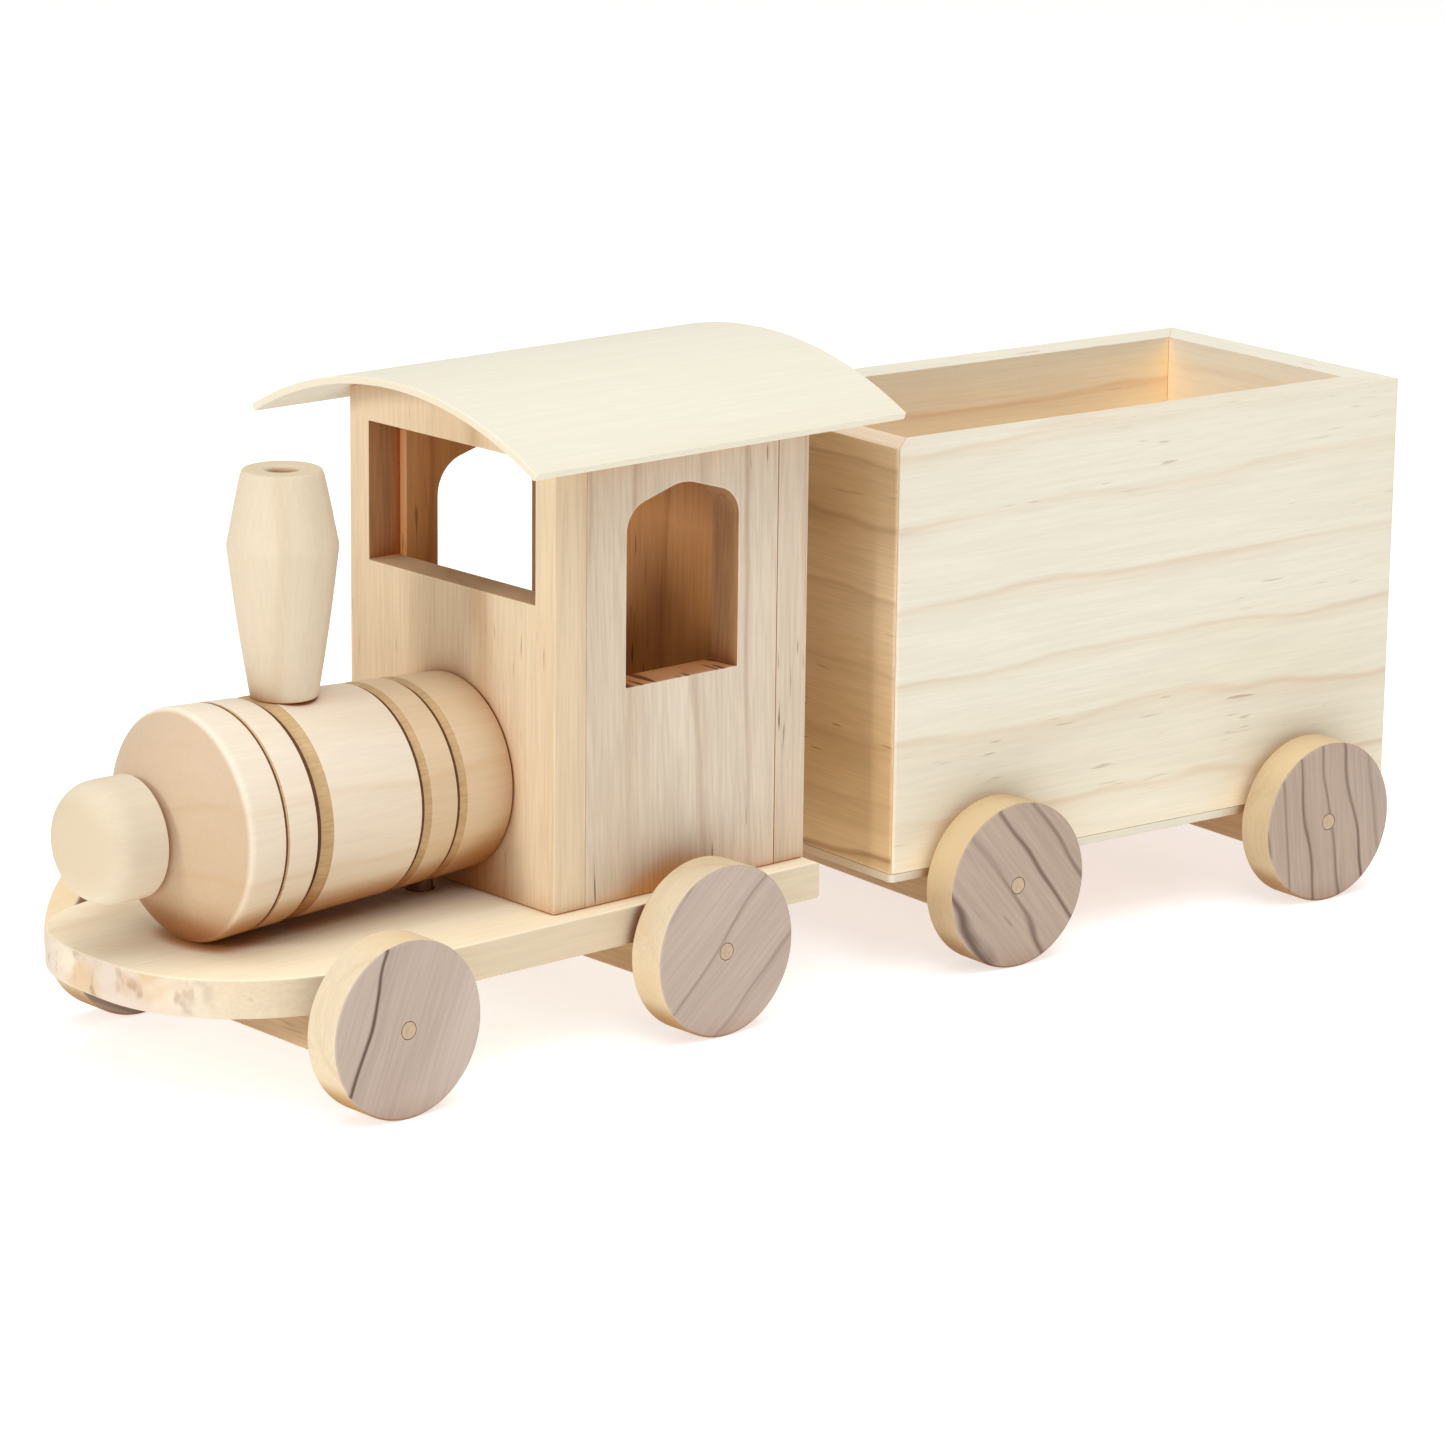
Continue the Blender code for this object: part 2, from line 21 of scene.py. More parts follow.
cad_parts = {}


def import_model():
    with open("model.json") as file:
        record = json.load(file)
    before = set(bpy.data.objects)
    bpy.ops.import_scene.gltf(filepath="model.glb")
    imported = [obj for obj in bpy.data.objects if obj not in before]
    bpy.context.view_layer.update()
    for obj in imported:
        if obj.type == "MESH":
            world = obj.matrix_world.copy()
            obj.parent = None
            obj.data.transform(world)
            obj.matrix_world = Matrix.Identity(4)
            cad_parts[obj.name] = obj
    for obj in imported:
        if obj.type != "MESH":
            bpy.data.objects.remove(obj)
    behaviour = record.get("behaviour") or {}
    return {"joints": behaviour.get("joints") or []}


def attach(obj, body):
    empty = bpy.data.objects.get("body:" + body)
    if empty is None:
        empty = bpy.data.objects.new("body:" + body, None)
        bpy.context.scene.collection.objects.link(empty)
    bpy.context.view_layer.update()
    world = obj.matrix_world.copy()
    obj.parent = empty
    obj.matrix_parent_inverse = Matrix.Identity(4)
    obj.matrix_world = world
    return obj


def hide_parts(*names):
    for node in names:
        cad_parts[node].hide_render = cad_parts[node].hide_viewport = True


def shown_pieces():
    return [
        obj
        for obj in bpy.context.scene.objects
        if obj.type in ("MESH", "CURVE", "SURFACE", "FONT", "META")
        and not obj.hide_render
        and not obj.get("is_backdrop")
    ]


MM = 0.001
ON_AXIS = 1e-7
SHEET_EASE = 0.3 * MM
WIRE_EASE = 0.25 * MM
SHARP_FROM = 50
FLAT_WITHIN = 0.4
WELD = 0.005 * MM
FACING = 0.7
EDGE = 2 * MM
NOISE_ROUGHNESS = 0.55
ORIGIN = (0.0, 0.0, 0.0)
WHITE = (1.0, 1.0, 1.0, 1.0)
LOG = logging.getLogger("toy_train")

Colour = tuple[int, int, int]
Pair = tuple[float, float]
Triple = tuple[float, float, float]
Profile = list[Pair]
Spare = tuple[Pair, Pair, Pair]
Socket = bpy.types.NodeSocket
Node = bpy.types.Node
Outputs = bpy.types.NodeOutputs
Feeds = dict[str | int, object]
Material = bpy.types.Material
Object = bpy.types.Object
Mesh = bmesh.types.BMesh
Face = bmesh.types.BMFace
Paint = Callable[[Face], int]
FLUSH: Pair = (0.0, 0.0)


class Axis(Enum):
    """The local axis that a piece is turned about."""

    X = "X"
    Y = "Y"
    Z = "Z"

    def point(self, along: float, u: float, v: float) -> Vector:
        """Put a distance along this axis and two across it into a point.

        Args:
            along: Distance along the axis.
            u: Distance along the first of the other two axes.
            v: Distance along the second.

        Returns:
            The point in local axes.
        """
        return Vector({"X": (along, u, v), "Y": (u, along, v), "Z": (u, v, along)}[self.value])


class Grain(Enum):
    """Which way the fibres run, as the turn that brings them onto X."""

    ALONG_X = (0.0, 0.0, 0.0)
    ALONG_Y = (0.0, 0.0, -90.0)
    ALONG_Z = (0.0, 90.0, 0.0)


class Side(Enum):
    """The two sides of the train, as the sign of Y."""

    NEAR = -1
    FAR = 1


def linear(colour: Colour) -> tuple[float, float, float, float]:
    """Turn an 8-bit sRGB colour into the linear values that shaders use.

    Args:
        colour: Red, green and blue from 0 to 255.

    Returns:
        Linear red, green and blue, and a fourth value of 1.
    """

    def channel(value: float) -> float:
        """Undo the sRGB curve for one channel from 0 to 1."""
        return value / 12.92 if value <= 0.04045 else ((value + 0.055) / 1.055) ** 2.4

    red, green, blue = (channel(part / 255) for part in colour)
    return red, green, blue, 1.0


class Wiring:
    """Adds nodes to one tree and joins them."""

    def __init__(self, tree: bpy.types.NodeTree) -> None:
        """Keep the tree that the nodes go into."""
        self.tree = tree

    def feed(self, node: Node, key: str | int, value: object) -> None:
        """Link a socket to an input, or set the input to a plain value.

        Args:
            node: The node that takes the value.
            key: The input's name or number.
            value: A socket, a number or a tuple.
        """
        if isinstance(value, Socket):
            self.tree.links.new(value, node.inputs[key])
        else:
            node.inputs[key].default_value = value

    def add(self, kind: str, feeds: Feeds | None = None, **settings: object) -> Outputs:
        """Add a node, set its properties and fill its inputs.

        Args:
            kind: The node's type name.
            feeds: What each input takes, by its name or number.
            **settings: Properties of the node by name.

        Returns:
            The new node's outputs.
        """
        node = self.tree.nodes.new(kind)
        for name, value in settings.items():
            setattr(node, name, value)
        for key, value in (feeds or {}).items():
            self.feed(node, key, value)
        return node.outputs

    def sum(self, operation: str, *values: object, clamp: bool = False) -> Socket:
        """Do one step of arithmetic.

        Args:
            operation: The Math node's operation.
            *values: Sockets or numbers in order.
            clamp: Whether the result is kept between 0 and 1.

        Returns:
            The result.
        """
        feeds = dict(enumerate(values))
        return self.add("ShaderNodeMath", feeds, operation=operation, use_clamp=clamp)[0]

    def plus(self, first: object, second: object) -> Socket:
        """Add two amounts."""
        return self.sum("ADD", first, second)

    def minus(self, first: object, second: object) -> Socket:
        """Take the second amount from the first."""
        return self.sum("SUBTRACT", first, second)

    def times(self, first: object, second: object) -> Socket:
        """Multiply two amounts."""
        return self.sum("MULTIPLY", first, second)

    def vector(self, operation: str, first: object, second: object = ORIGIN) -> Socket:
        """Do one step of vector arithmetic.

        Args:
            operation: The Vector Math node's operation.
            first: The first vector.
            second: The second vector, or the number that scales the first.

        Returns:
            The vector, or the number for a length or a dot product.
        """
        feeds = {0: first, "Scale" if operation == "SCALE" else 1: second}
        made = self.add("ShaderNodeVectorMath", feeds, operation=operation)
        return made["Value" if operation in ("LENGTH", "DOT_PRODUCT") else "Vector"]

    def ramp(
        self, value: Socket, low: object, high: object, start: float = 0.0, end: float = 1.0
    ) -> Socket:
        """Rise smoothly from start to end while the value goes from low to high.

        Args:
            value: What is measured.
            low: Where the rise begins.
            high: Where it ends.
            start: The result up to low.
            end: The result from high on.

        Returns:
            The result.
        """
        feeds = {"Value": value, "From Min": low, "From Max": high, "To Min": start, "To Max": end}
        return self.add("ShaderNodeMapRange", feeds, interpolation_type="SMOOTHSTEP")["Result"]

    def noise(self, point: Socket, waves: Triple, detail: float, output: str = "Fac") -> Socket:
        """Add noise with its own number of waves per metre along each axis.

        Args:
            point: Where the noise is read.
            waves: Waves per metre along X, Y and Z.
            detail: The number of finer layers.
            output: Fac for one amount or Color for three.

        Returns:
            The noise.
        """
        place = self.vector("MULTIPLY", point, waves)
        feeds = {"Vector": place, "Scale": 1.0, "Detail": detail, "Roughness": NOISE_ROUGHNESS}
        return self.add("ShaderNodeTexNoise", feeds, noise_dimensions="3D")[output]

    def blend(self, share: object, first: object, second: object, way: str = "MIX") -> Socket:
        """Mix two colours.

        Args:
            share: How much of the second one shows.
            first: The colour at 0.
            second: The colour at 1.
            way: The Mix node's blend type.

        Returns:
            The mixed colour.
        """
        feeds = {0: share, 6: first, 7: second}
        return self.add("ShaderNodeMix", feeds, data_type="RGBA", blend_type=way)[2]

    def bump(self, shader: Node, strength: float, distance: float, height: Socket) -> None:
        """Give a shader's surface a relief.

        Args:
            shader: The surface's shader.
            strength: How strongly the relief shows.
            distance: How high it is.
            height: Its height at each place, from 0 to 1.
        """
        feeds = {"Strength": strength, "Distance": distance, "Height": height}
        self.feed(shader, "Normal", self.add("ShaderNodeBump", feeds)[0])


def new_material(name: str) -> tuple[Material, Wiring, Node]:
    """Start a material.

    Args:
        name: The material's name.

    Returns:
        The material, its wiring and its shader.
    """
    made = bpy.data.materials.new(name)
    made.use_nodes = True
    return made, Wiring(made.node_tree), made.node_tree.nodes["Principled BSDF"]


class Recipe:
    """A shader node group that is built once and then shared.

    Attributes:
        NAME: The group's name.
        VECTORS: Names of the inputs that are vectors.
        AMOUNTS: Names of the inputs that are plain numbers.
        RESULTS: Names of the outputs.
    """

    NAME = ""
    VECTORS: tuple[str, ...] = ()
    AMOUNTS: tuple[str, ...] = ()
    RESULTS: tuple[str, ...] = ("Mask",)

    @classmethod
    def get(cls) -> bpy.types.NodeTree:
        """Give the group, building it the first time.

        Returns:
            The group.
        """
        ready = bpy.data.node_groups.get(cls.NAME)
        if ready is not None:
            return ready
        tree = bpy.data.node_groups.new(cls.NAME, "ShaderNodeTree")
        sockets = [(name, "INPUT", "NodeSocketVector") for name in cls.VECTORS]
        sockets += [(name, "INPUT", "NodeSocketFloat") for name in cls.AMOUNTS]
        sockets += [(name, "OUTPUT", "NodeSocketFloat") for name in cls.RESULTS]
        for name, side, kind in sockets:
            tree.interface.new_socket(name=name, in_out=side, socket_type=kind)
        wiring = Wiring(tree)
        results = cls.build(wiring, wiring.add("NodeGroupInput"))
        wiring.add("NodeGroupOutput", dict(zip(cls.RESULTS, results, strict=True)))
        return tree

    @classmethod
    def build(cls, wiring: Wiring, given: Outputs) -> Sequence[Socket]:
        """Add the nodes.

        Args:
            wiring: The group's wiring.
            given: What the group is given.

        Returns:
            What each of the results is, in order.
        """
        raise NotImplementedError


class GrainGroup(Recipe):
    """Growth rings, fibres and flecks of a log whose fibres run along X.

    It gives the dark ring, the tone that drifts over a board, the fibres, the flecks and a height.

    Attributes:
        WANDER, RIPPLE: Waves per metre of the rings' wide and narrow bends.
        UNEVEN: Waves of the years' uneven growth, which is UNEVEN_YEARS at most.
        FADING: Waves of the patches where the rings fade.
        DRIFT: Waves of the drifting tone.
        FINE, COARSE: Waves of the fine and the coarse fibres; the fine ones have FINE_SHARE.
        FLECKS, CLUSTERS: Waves of the flecks and of the patches that hold them.
        FULL: Where in a ring its broad part is darkest, from 0 to 1.
        SUNK: How far the flecks and the rings are sunk.
    """

    NAME = "log_grain"
    VECTORS = ("Point",)
    AMOUNTS = ("Spacing", "Wander", "Ripple", "Dark From", "Line", "Broad")
    RESULTS = ("Ring", "Drift", "Fibre", "Fleck", "Height")
    WANDER = (7.0, 12.0, 12.0)
    RIPPLE = (30.0, 75.0, 75.0)
    UNEVEN = (1.5, 24.0, 24.0)
    UNEVEN_YEARS = 1.5
    FADING = (9.0, 45.0, 45.0)
    DRIFT = (5.0, 22.0, 22.0)
    FINE = (55.0, 1500.0, 1500.0)
    FINE_SHARE = 0.65
    COARSE = (22.0, 420.0, 420.0)
    FLECKS = (75.0, 780.0, 780.0)
    CLUSTERS = (14.0, 60.0, 60.0)
    FULL = 0.9
    SUNK = 0.3

    @classmethod
    def build(cls, wiring: Wiring, given: Outputs) -> Sequence[Socket]:
        """Add the nodes.

        Args:
            wiring: The group's wiring.
            given: What the group is given.

        Returns:
            What each of the results is, in order.
        """
        point, spacing, line, broad = (given[key] for key in ("Point", "Spacing", "Line", "Broad"))
        moved = point
        for waves, amount in ((cls.WANDER, "Wander"), (cls.RIPPLE, "Ripple")):
            bend = wiring.noise(point, waves, 1.5, "Color")
            centred = wiring.vector("SUBTRACT", bend, (0.5, 0.5, 0.5))
            scaled = wiring.vector("SCALE", centred, given[amount])
            moved = wiring.vector("ADD", moved, scaled)
        radius = wiring.vector("LENGTH", wiring.vector("MULTIPLY", moved, (0.0, 1.0, 1.0)))
        uneven = wiring.times(wiring.noise(point, cls.UNEVEN, 1.0), cls.UNEVEN_YEARS)
        years = wiring.plus(wiring.sum("DIVIDE", radius, spacing), uneven)
        season = wiring.sum("FRACT", years)
        year = {"W": wiring.sum("FLOOR", years)}
        luck = wiring.add("ShaderNodeTexWhiteNoise", year, noise_dimensions="1D")["Value"]

        later = wiring.minus(cls.FULL, given["Dark From"])
        start = wiring.plus(given["Dark From"], wiring.times(later, wiring.times(luck, 0.7)))
        wide = wiring.times(wiring.ramp(season, start, cls.FULL), broad)
        left = wiring.times(wiring.minus(1.0, season), spacing)
        narrow = wiring.ramp(left, wiring.times(line, 0.6), line, 1.0, 0.0)
        rise = wiring.plus(wide, wiring.times(narrow, wiring.minus(1.0, broad)))
        fall = wiring.ramp(left, 0.0, wiring.times(line, 0.55))
        strength = wiring.ramp(wiring.noise(point, cls.FADING, 1.0), 0.3, 0.65, 0.3, 1.0)
        strength = wiring.times(strength, wiring.ramp(luck, 0.0, 1.0, 0.35, 1.0))
        ring = wiring.times(wiring.times(rise, fall), strength)

        drift = wiring.noise(point, cls.DRIFT, 2.0)
        fine = wiring.times(wiring.noise(point, cls.FINE, 2.0), cls.FINE_SHARE)
        coarse = wiring.times(wiring.noise(point, cls.COARSE, 2.0), 1.0 - cls.FINE_SHARE)
        fibre = wiring.plus(fine, coarse)
        where = wiring.ramp(wiring.noise(point, cls.CLUSTERS, 1.0), 0.45, 0.7)
        spots = wiring.ramp(wiring.noise(point, cls.FLECKS, 1.0), 0.66, 0.76)
        fleck = wiring.times(spots, where)
        height = wiring.minus(fibre, wiring.times(wiring.plus(fleck, ring), cls.SUNK))
        return ring, drift, fibre, fleck, height


class EdgeGroup(Recipe):
    """Where sandpaper and hands have rounded a piece's edges, broken up along the edge.

    Attributes:
        BREAKS: Waves per metre of what breaks the edge up.
    """

    NAME = "handled_edge"
    VECTORS = ("Point",)
    AMOUNTS = ("Radius",)
    BREAKS = (160.0, 160.0, 160.0)

    @classmethod
    def build(cls, wiring: Wiring, given: Outputs) -> Sequence[Socket]:
        """Add the nodes.

        Args:
            wiring: The group's wiring.
            given: What the group is given.

        Returns:
            What each of the results is, in order.
        """
        rounded = wiring.add("ShaderNodeBevel", {"Radius": given["Radius"]}, samples=4)[0]
        plain = wiring.add("ShaderNodeNewGeometry")["Normal"]
        bent = wiring.minus(1.0, wiring.vector("DOT_PRODUCT", rounded, plain))
        worn = wiring.ramp(wiring.noise(given["Point"], cls.BREAKS, 3.0), 0.35, 0.62, 0.25, 1.0)
        return (wiring.times(wiring.ramp(bent, 0.01, 0.16), worn),)


class PaintedShadeGroup(Recipe):
    """Painted shade: how much of the sky other pieces hide from a place, from 0 in the open to 1
    deep in a recess.
    """

    NAME = "hollow"
    AMOUNTS = ("Reach",)

    @classmethod
    def build(cls, wiring: Wiring, given: Outputs) -> Sequence[Socket]:
        """Add the nodes.

        Args:
            wiring: The group's wiring.
            given: What the group is given.

        Returns:
            What each of the results is, in order.
        """
        far = {"Distance": given["Reach"]}
        sky = wiring.add("ShaderNodeAmbientOcclusion", far, samples=8)["AO"]
        return (wiring.ramp(wiring.minus(1.0, sky), 0.3, 0.72),)


@dataclass(frozen=True)
class Cut:
    """How a piece was cut from its log.

    Attributes:
        grain: Which way the fibres run.
        pith: Where the log's heart lies, across the fibres, from the piece's own origin.
        along: How far along the log the piece was cut.
        tilt: Further turn of the log in degrees, as Euler angles.
    """

    grain: Grain = Grain.ALONG_X
    pith: Pair = (0.09, 0.05)
    along: float = 0.0
    tilt: Triple = (0.0, 0.0, 0.0)

    def turn(self) -> Euler:
        """Give the rotation that brings the fibres onto X."""
        first = Euler([math.radians(part) for part in self.grain.value]).to_matrix()
        second = Euler([math.radians(part) for part in self.tilt]).to_matrix()
        return (second @ first).to_euler()


@dataclass(frozen=True)
class Wood:
    """A bare wood finish.

    Attributes:
        early: Colour of the pale part of a growth ring.
        drift: Colour that the pale part wanders towards.
        late: Colour of the dark part of a ring.
        fleck: Colour of the short resin streaks.
        end: Colour where the fibres end at the surface.
        spacing: Distance from ring to ring.
        dark_from: Where in a ring the faint dark part starts, from 0 to 1.
        line: Width of the line that ends a ring.
        broad: Share of the broad faint part in a ring's darkness; the line has the rest.
        rings: Strength of the dark rings.
        flecks: Strength of the streaks.
        fibres: Strength of the fibre lines.
        wander: How far the rings wander.
        ripple: How far they ripple on the way.
        rough: Roughness of the long grain.
        relief: Height of the fibre relief.
        edge: Radius of the handled edges.
        end_share: How far the end colour covers the ends of the fibres.
        mottle: Strength of the grey patches and smudges on the ends of the fibres.
        painted_light_and_shade: Painted shade where other wood hides the sky; past 255 it paints
            light.
        reach: How far the painted shade looks for other wood.
        sill: Height of a sawn sill with scorch marks, or None.
    """

    early: Colour
    drift: Colour
    late: Colour
    fleck: Colour
    end: Colour
    spacing: float = 9 * MM
    dark_from: float = 0.45
    line: float = 2.4 * MM
    broad: float = 0.5
    rings: float = 0.6
    flecks: float = 0.5
    fibres: float = 0.16
    wander: float = 0.02
    ripple: float = 0.003
    rough: float = 0.68
    relief: float = 0.05 * MM
    edge: float = 0.9 * MM
    end_share: float = 0.6
    mottle: float = 0.0
    painted_light_and_shade: Colour = (214, 168, 122)
    reach: float = 45 * MM
    sill: float | None = None

    def material(self, name: str, cut: Cut) -> Material:
        """Make the material of one piece.

        Args:
            name: The material's name.
            cut: How the piece lies in its log.

        Returns:
            The material.
        """
        made, wiring, shader = new_material(name)
        place = wiring.add("ShaderNodeTexCoord")
        turn = cut.turn()
        spot = {"Vector": place["Object"], "Rotation": turn, "Location": (cut.along, *cut.pith)}
        point = wiring.add("ShaderNodeMapping", spot, vector_type="POINT")[0]
        grown = {
            "Point": point, "Spacing": self.spacing, "Wander": self.wander, "Ripple": self.ripple,
            "Dark From": self.dark_from, "Line": self.line, "Broad": self.broad,
        }
        grain = wiring.add("ShaderNodeGroup", grown, node_tree=GrainGroup.get())
        normal = {"Vector": place["Normal"], "Rotation": turn}
        facing = wiring.add("ShaderNodeMapping", normal, vector_type="NORMAL")[0]
        along = wiring.add("ShaderNodeSeparateXYZ", {0: facing})["X"]
        end = wiring.ramp(wiring.sum("ABSOLUTE", along), 0.55, 0.95)

        tone = wiring.ramp(grain["Drift"], 0.3, 0.7)
        colour = wiring.blend(tone, linear(self.early), linear(self.drift))
        colour = wiring.blend(wiring.times(grain["Ring"], self.rings), colour, linear(self.late))
        fleck = wiring.times(wiring.times(grain["Fleck"], self.flecks), wiring.minus(1.0, end))
        colour = wiring.blend(fleck, colour, linear(self.fleck))
        dark, light = 1.0 - self.fibres, 1.0 + 0.4 * self.fibres
        lines = wiring.ramp(grain["Fibre"], 0.35, 0.65, dark, light)
        shade = wiring.add("ShaderNodeCombineColor", dict.fromkeys(("Red", "Green", "Blue"), lines))
        colour = wiring.blend(1.0, colour, shade[0], "MULTIPLY")
        colour = wiring.blend(wiring.times(end, self.end_share), colour, linear(self.end))
        if self.mottle:
            colour = self.mottled(wiring, colour, point, end)
        if self.sill is not None:
            colour = self.scorched(wiring, colour, place)

        edge = {"Point": point, "Radius": self.edge}
        handled = wiring.add("ShaderNodeGroup", edge, node_tree=EdgeGroup.get())["Mask"]
        polish = tuple(min(255, int(part * 1.03) + 4) for part in self.early)
        colour = wiring.blend(wiring.times(handled, 0.45), colour, linear(polish))
        # Painted shade and painted light: where other wood hides the sky, the colour is multiplied
        # by the finish's tint. Below 255 the tint darkens it as painted shade; past 255 it
        # brightens it as painted light.
        reach = {"Reach": self.reach}
        hollow = wiring.add("ShaderNodeGroup", reach, node_tree=PaintedShadeGroup.get())["Mask"]
        painted_light_shade_colour = wiring.blend(1.0, colour, linear(self.painted_light_and_shade), "MULTIPLY")
        wiring.feed(shader, "Base Color", wiring.blend(hollow, colour, painted_light_shade_colour))

        rough = wiring.ramp(grain["Fibre"], 0.3, 0.7, self.rough + 0.1, self.rough - 0.05)
        rough = wiring.plus(rough, wiring.times(end, 0.12))
        rough = wiring.sum("SUBTRACT", rough, wiring.times(handled, 0.14), clamp=True)
        wiring.feed(shader, "Roughness", rough)
        wiring.feed(shader, "Specular IOR Level", 0.32)
        wiring.bump(shader, 0.7, self.relief, grain["Height"])
        return made

    def mottled(self, wiring: Wiring, colour: Socket, point: Socket, end: Socket) -> Socket:
        """Spread grey and tan patches and dark smudges over the ends of the fibres.

        Args:
            wiring: The material's wiring.
            colour: The colour so far.
            point: The place in the log.
            end: How much the fibres end here.

        Returns:
            The new colour.
        """
        for waves, low, high, share, tint in (
            ((45.0, 45.0, 60.0), 0.42, 0.66, 0.6, (208, 190, 178)),
            ((62.0, 62.0, 90.0), 0.5, 0.68, 0.6, (206, 168, 124)),
            ((190.0, 190.0, 160.0), 0.54, 0.7, 0.5, (150, 114, 84)),
        ):
            patches = wiring.ramp(wiring.noise(point, waves, 2.5), low, high)
            shown = wiring.times(wiring.times(patches, end), share * self.mottle)
            colour = wiring.blend(shown, colour, linear(tint))
        return colour

    def scorched(self, wiring: Wiring, colour: Socket, place: Outputs) -> Socket:
        """Put the saw's scorch marks on a window sill.

        Args:
            wiring: The material's wiring.
            colour: The colour so far.
            place: The texture coordinates.

        Returns:
            The new colour.
        """
        height = wiring.add("ShaderNodeSeparateXYZ", {0: place["Object"]})["Z"]
        facing = wiring.add("ShaderNodeSeparateXYZ", {0: place["Normal"]})["Z"]
        off = wiring.sum("ABSOLUTE", wiring.minus(height, self.sill))
        level = wiring.ramp(off, 0.4 * MM, 1.2 * MM, 1.0, 0.0)
        strokes = wiring.noise(place["Object"], (420.0, 60.0, 60.0), 1.0)
        burn = wiring.times(wiring.ramp(strokes, 0.55, 0.63), level)
        burn = wiring.times(burn, wiring.ramp(facing, 0.3, 0.7))
        return wiring.blend(wiring.times(burn, 0.85), colour, linear((92, 50, 24)))


@dataclass(frozen=True)
class Wire:
    """Drawn steel wire, dulled by handling.

    Attributes:
        bright: Colour of the clean metal.
        dull: Colour where it has dulled.
    """

    bright: Colour = (188, 188, 190)
    dull: Colour = (120, 116, 110)

    def material(self, name: str) -> Material:
        """Make the material.

        Args:
            name: The material's name.

        Returns:
            The material.
        """
        made, wiring, shader = new_material(name)
        point = wiring.add("ShaderNodeTexCoord")["Object"]
        drawn = wiring.noise(point, (300.0, 2500.0, 2500.0), 2.0)
        tarnish = wiring.noise(point, (350.0, 350.0, 350.0), 3.0)
        dulled = wiring.ramp(tarnish, 0.4, 0.7)
        colour = wiring.blend(dulled, linear(self.bright), linear(self.dull))
        wiring.feed(shader, "Base Color", colour)
        wiring.feed(shader, "Metallic", 1.0)
        wiring.feed(shader, "Roughness", wiring.ramp(tarnish, 0.3, 0.7, 0.28, 0.5))
        wiring.bump(shader, 0.3, 0.03 * MM, drawn)
        return made


# Painted light: the tint of these boards passes 255, so it brightens the box's inside where other
# wood hides the sky.
CAR_PINE = Wood(
    early=(232, 226, 208), drift=(229, 221, 200), late=(204, 166, 126), fleck=(140, 96, 60),
    end=(222, 198, 164), spacing=17 * MM, dark_from=0.4, rings=0.5, flecks=0.45, fibres=0.045,
    wander=0.012, ripple=0.006, reach=100 * MM, painted_light_and_shade=(300, 278, 246),
)
CAR_FRONT_PINE = Wood(
    early=(236, 214, 186), drift=(220, 190, 152), late=(160, 114, 74), fleck=(84, 50, 28),
    end=(214, 180, 140), spacing=15 * MM, dark_from=0.3, rings=0.85, flecks=1.0, fibres=0.08,
    wander=0.016, ripple=0.006, painted_light_and_shade=(249, 239, 207), reach=100 * MM,
)
# Painted shade: its strong orange tint, reaching 100 mm, darkens the inside of the cab.
CAB_PINE = Wood(
    early=(227, 213, 194), drift=(214, 196, 172), late=(172, 138, 106), fleck=(96, 68, 48),
    end=(206, 176, 142), spacing=14 * MM, dark_from=0.5, rings=0.55, flecks=1.0, fibres=0.1,
    wander=0.012, painted_light_and_shade=(244, 184, 116), reach=100 * MM, sill=80.2 * MM,
)
# The rear panel's outer face takes a milder painted shade than the cab's inside.
CAB_BACK_PINE = replace(CAB_PINE, painted_light_and_shade=(240, 214, 184))
CAB_FRONT_PINE = Wood(
    early=(230, 209, 178), drift=(216, 189, 153), late=(176, 132, 88), fleck=(118, 82, 54),
    end=(206, 172, 132), spacing=13 * MM, dark_from=0.45, rings=0.55, flecks=0.6, fibres=0.08,
    wander=0.012, painted_light_and_shade=(214, 158, 104), reach=14 * MM,
)
# Faces inside the windows: browner sawn wood, made darker still as painted shade of the window's
# recess.
REVEAL = Wood(
    early=(192, 150, 106), drift=(178, 134, 90), late=(140, 96, 58), fleck=(100, 64, 38),
    end=(176, 132, 90), spacing=5 * MM, dark_from=0.5, rings=0.5, flecks=0.6, fibres=0.16,
    painted_light_and_shade=(226, 170, 116), reach=60 * MM,
)
# Painted shade: its dark tint, reaching 5 mm, paints the contact shadow where the boiler meets the
# base.
BASE_PINE = Wood(
    early=(228, 215, 190), drift=(222, 204, 174), late=(204, 166, 124), fleck=(150, 110, 76),
    end=(234, 222, 202), spacing=18 * MM, dark_from=0.55, rings=0.45, flecks=0.2, fibres=0.05,
    mottle=1.0, painted_light_and_shade=(184, 128, 80), reach=5 * MM,
)
# Painted light: a lighter copy of the base's pine for the faces that look up, as if more light fell
# on them.
LIT_BASE_TOP = replace(BASE_PINE, early=(254, 246, 225), drift=(248, 233, 202), painted_light_and_shade=(206, 152, 102))
BLOCK_PINE = Wood(
    early=(212, 194, 168), drift=(202, 182, 152), late=(150, 108, 70), fleck=(100, 68, 42),
    end=(150, 116, 84), spacing=8 * MM, rings=0.5, fibres=0.12, painted_light_and_shade=(236, 210, 178),
)
BOILER_PINE = Wood(
    early=(236, 223, 204), drift=(231, 214, 189), late=(212, 178, 134), fleck=(170, 124, 82),
    end=(174, 133, 85), spacing=14 * MM, dark_from=0.45, rings=0.3, flecks=0.1, fibres=0.035,
    wander=0.012, rough=0.6, end_share=0.95, painted_light_and_shade=(196, 148, 102), reach=22 * MM,
)
# Painted shade: the grooves' sloping flanks, darker than the boiler as if in shade.
SHADED_FLANK = replace(
    BOILER_PINE, early=(206, 174, 130), drift=(192, 157, 112), end=(182, 142, 96), fibres=0.12
)
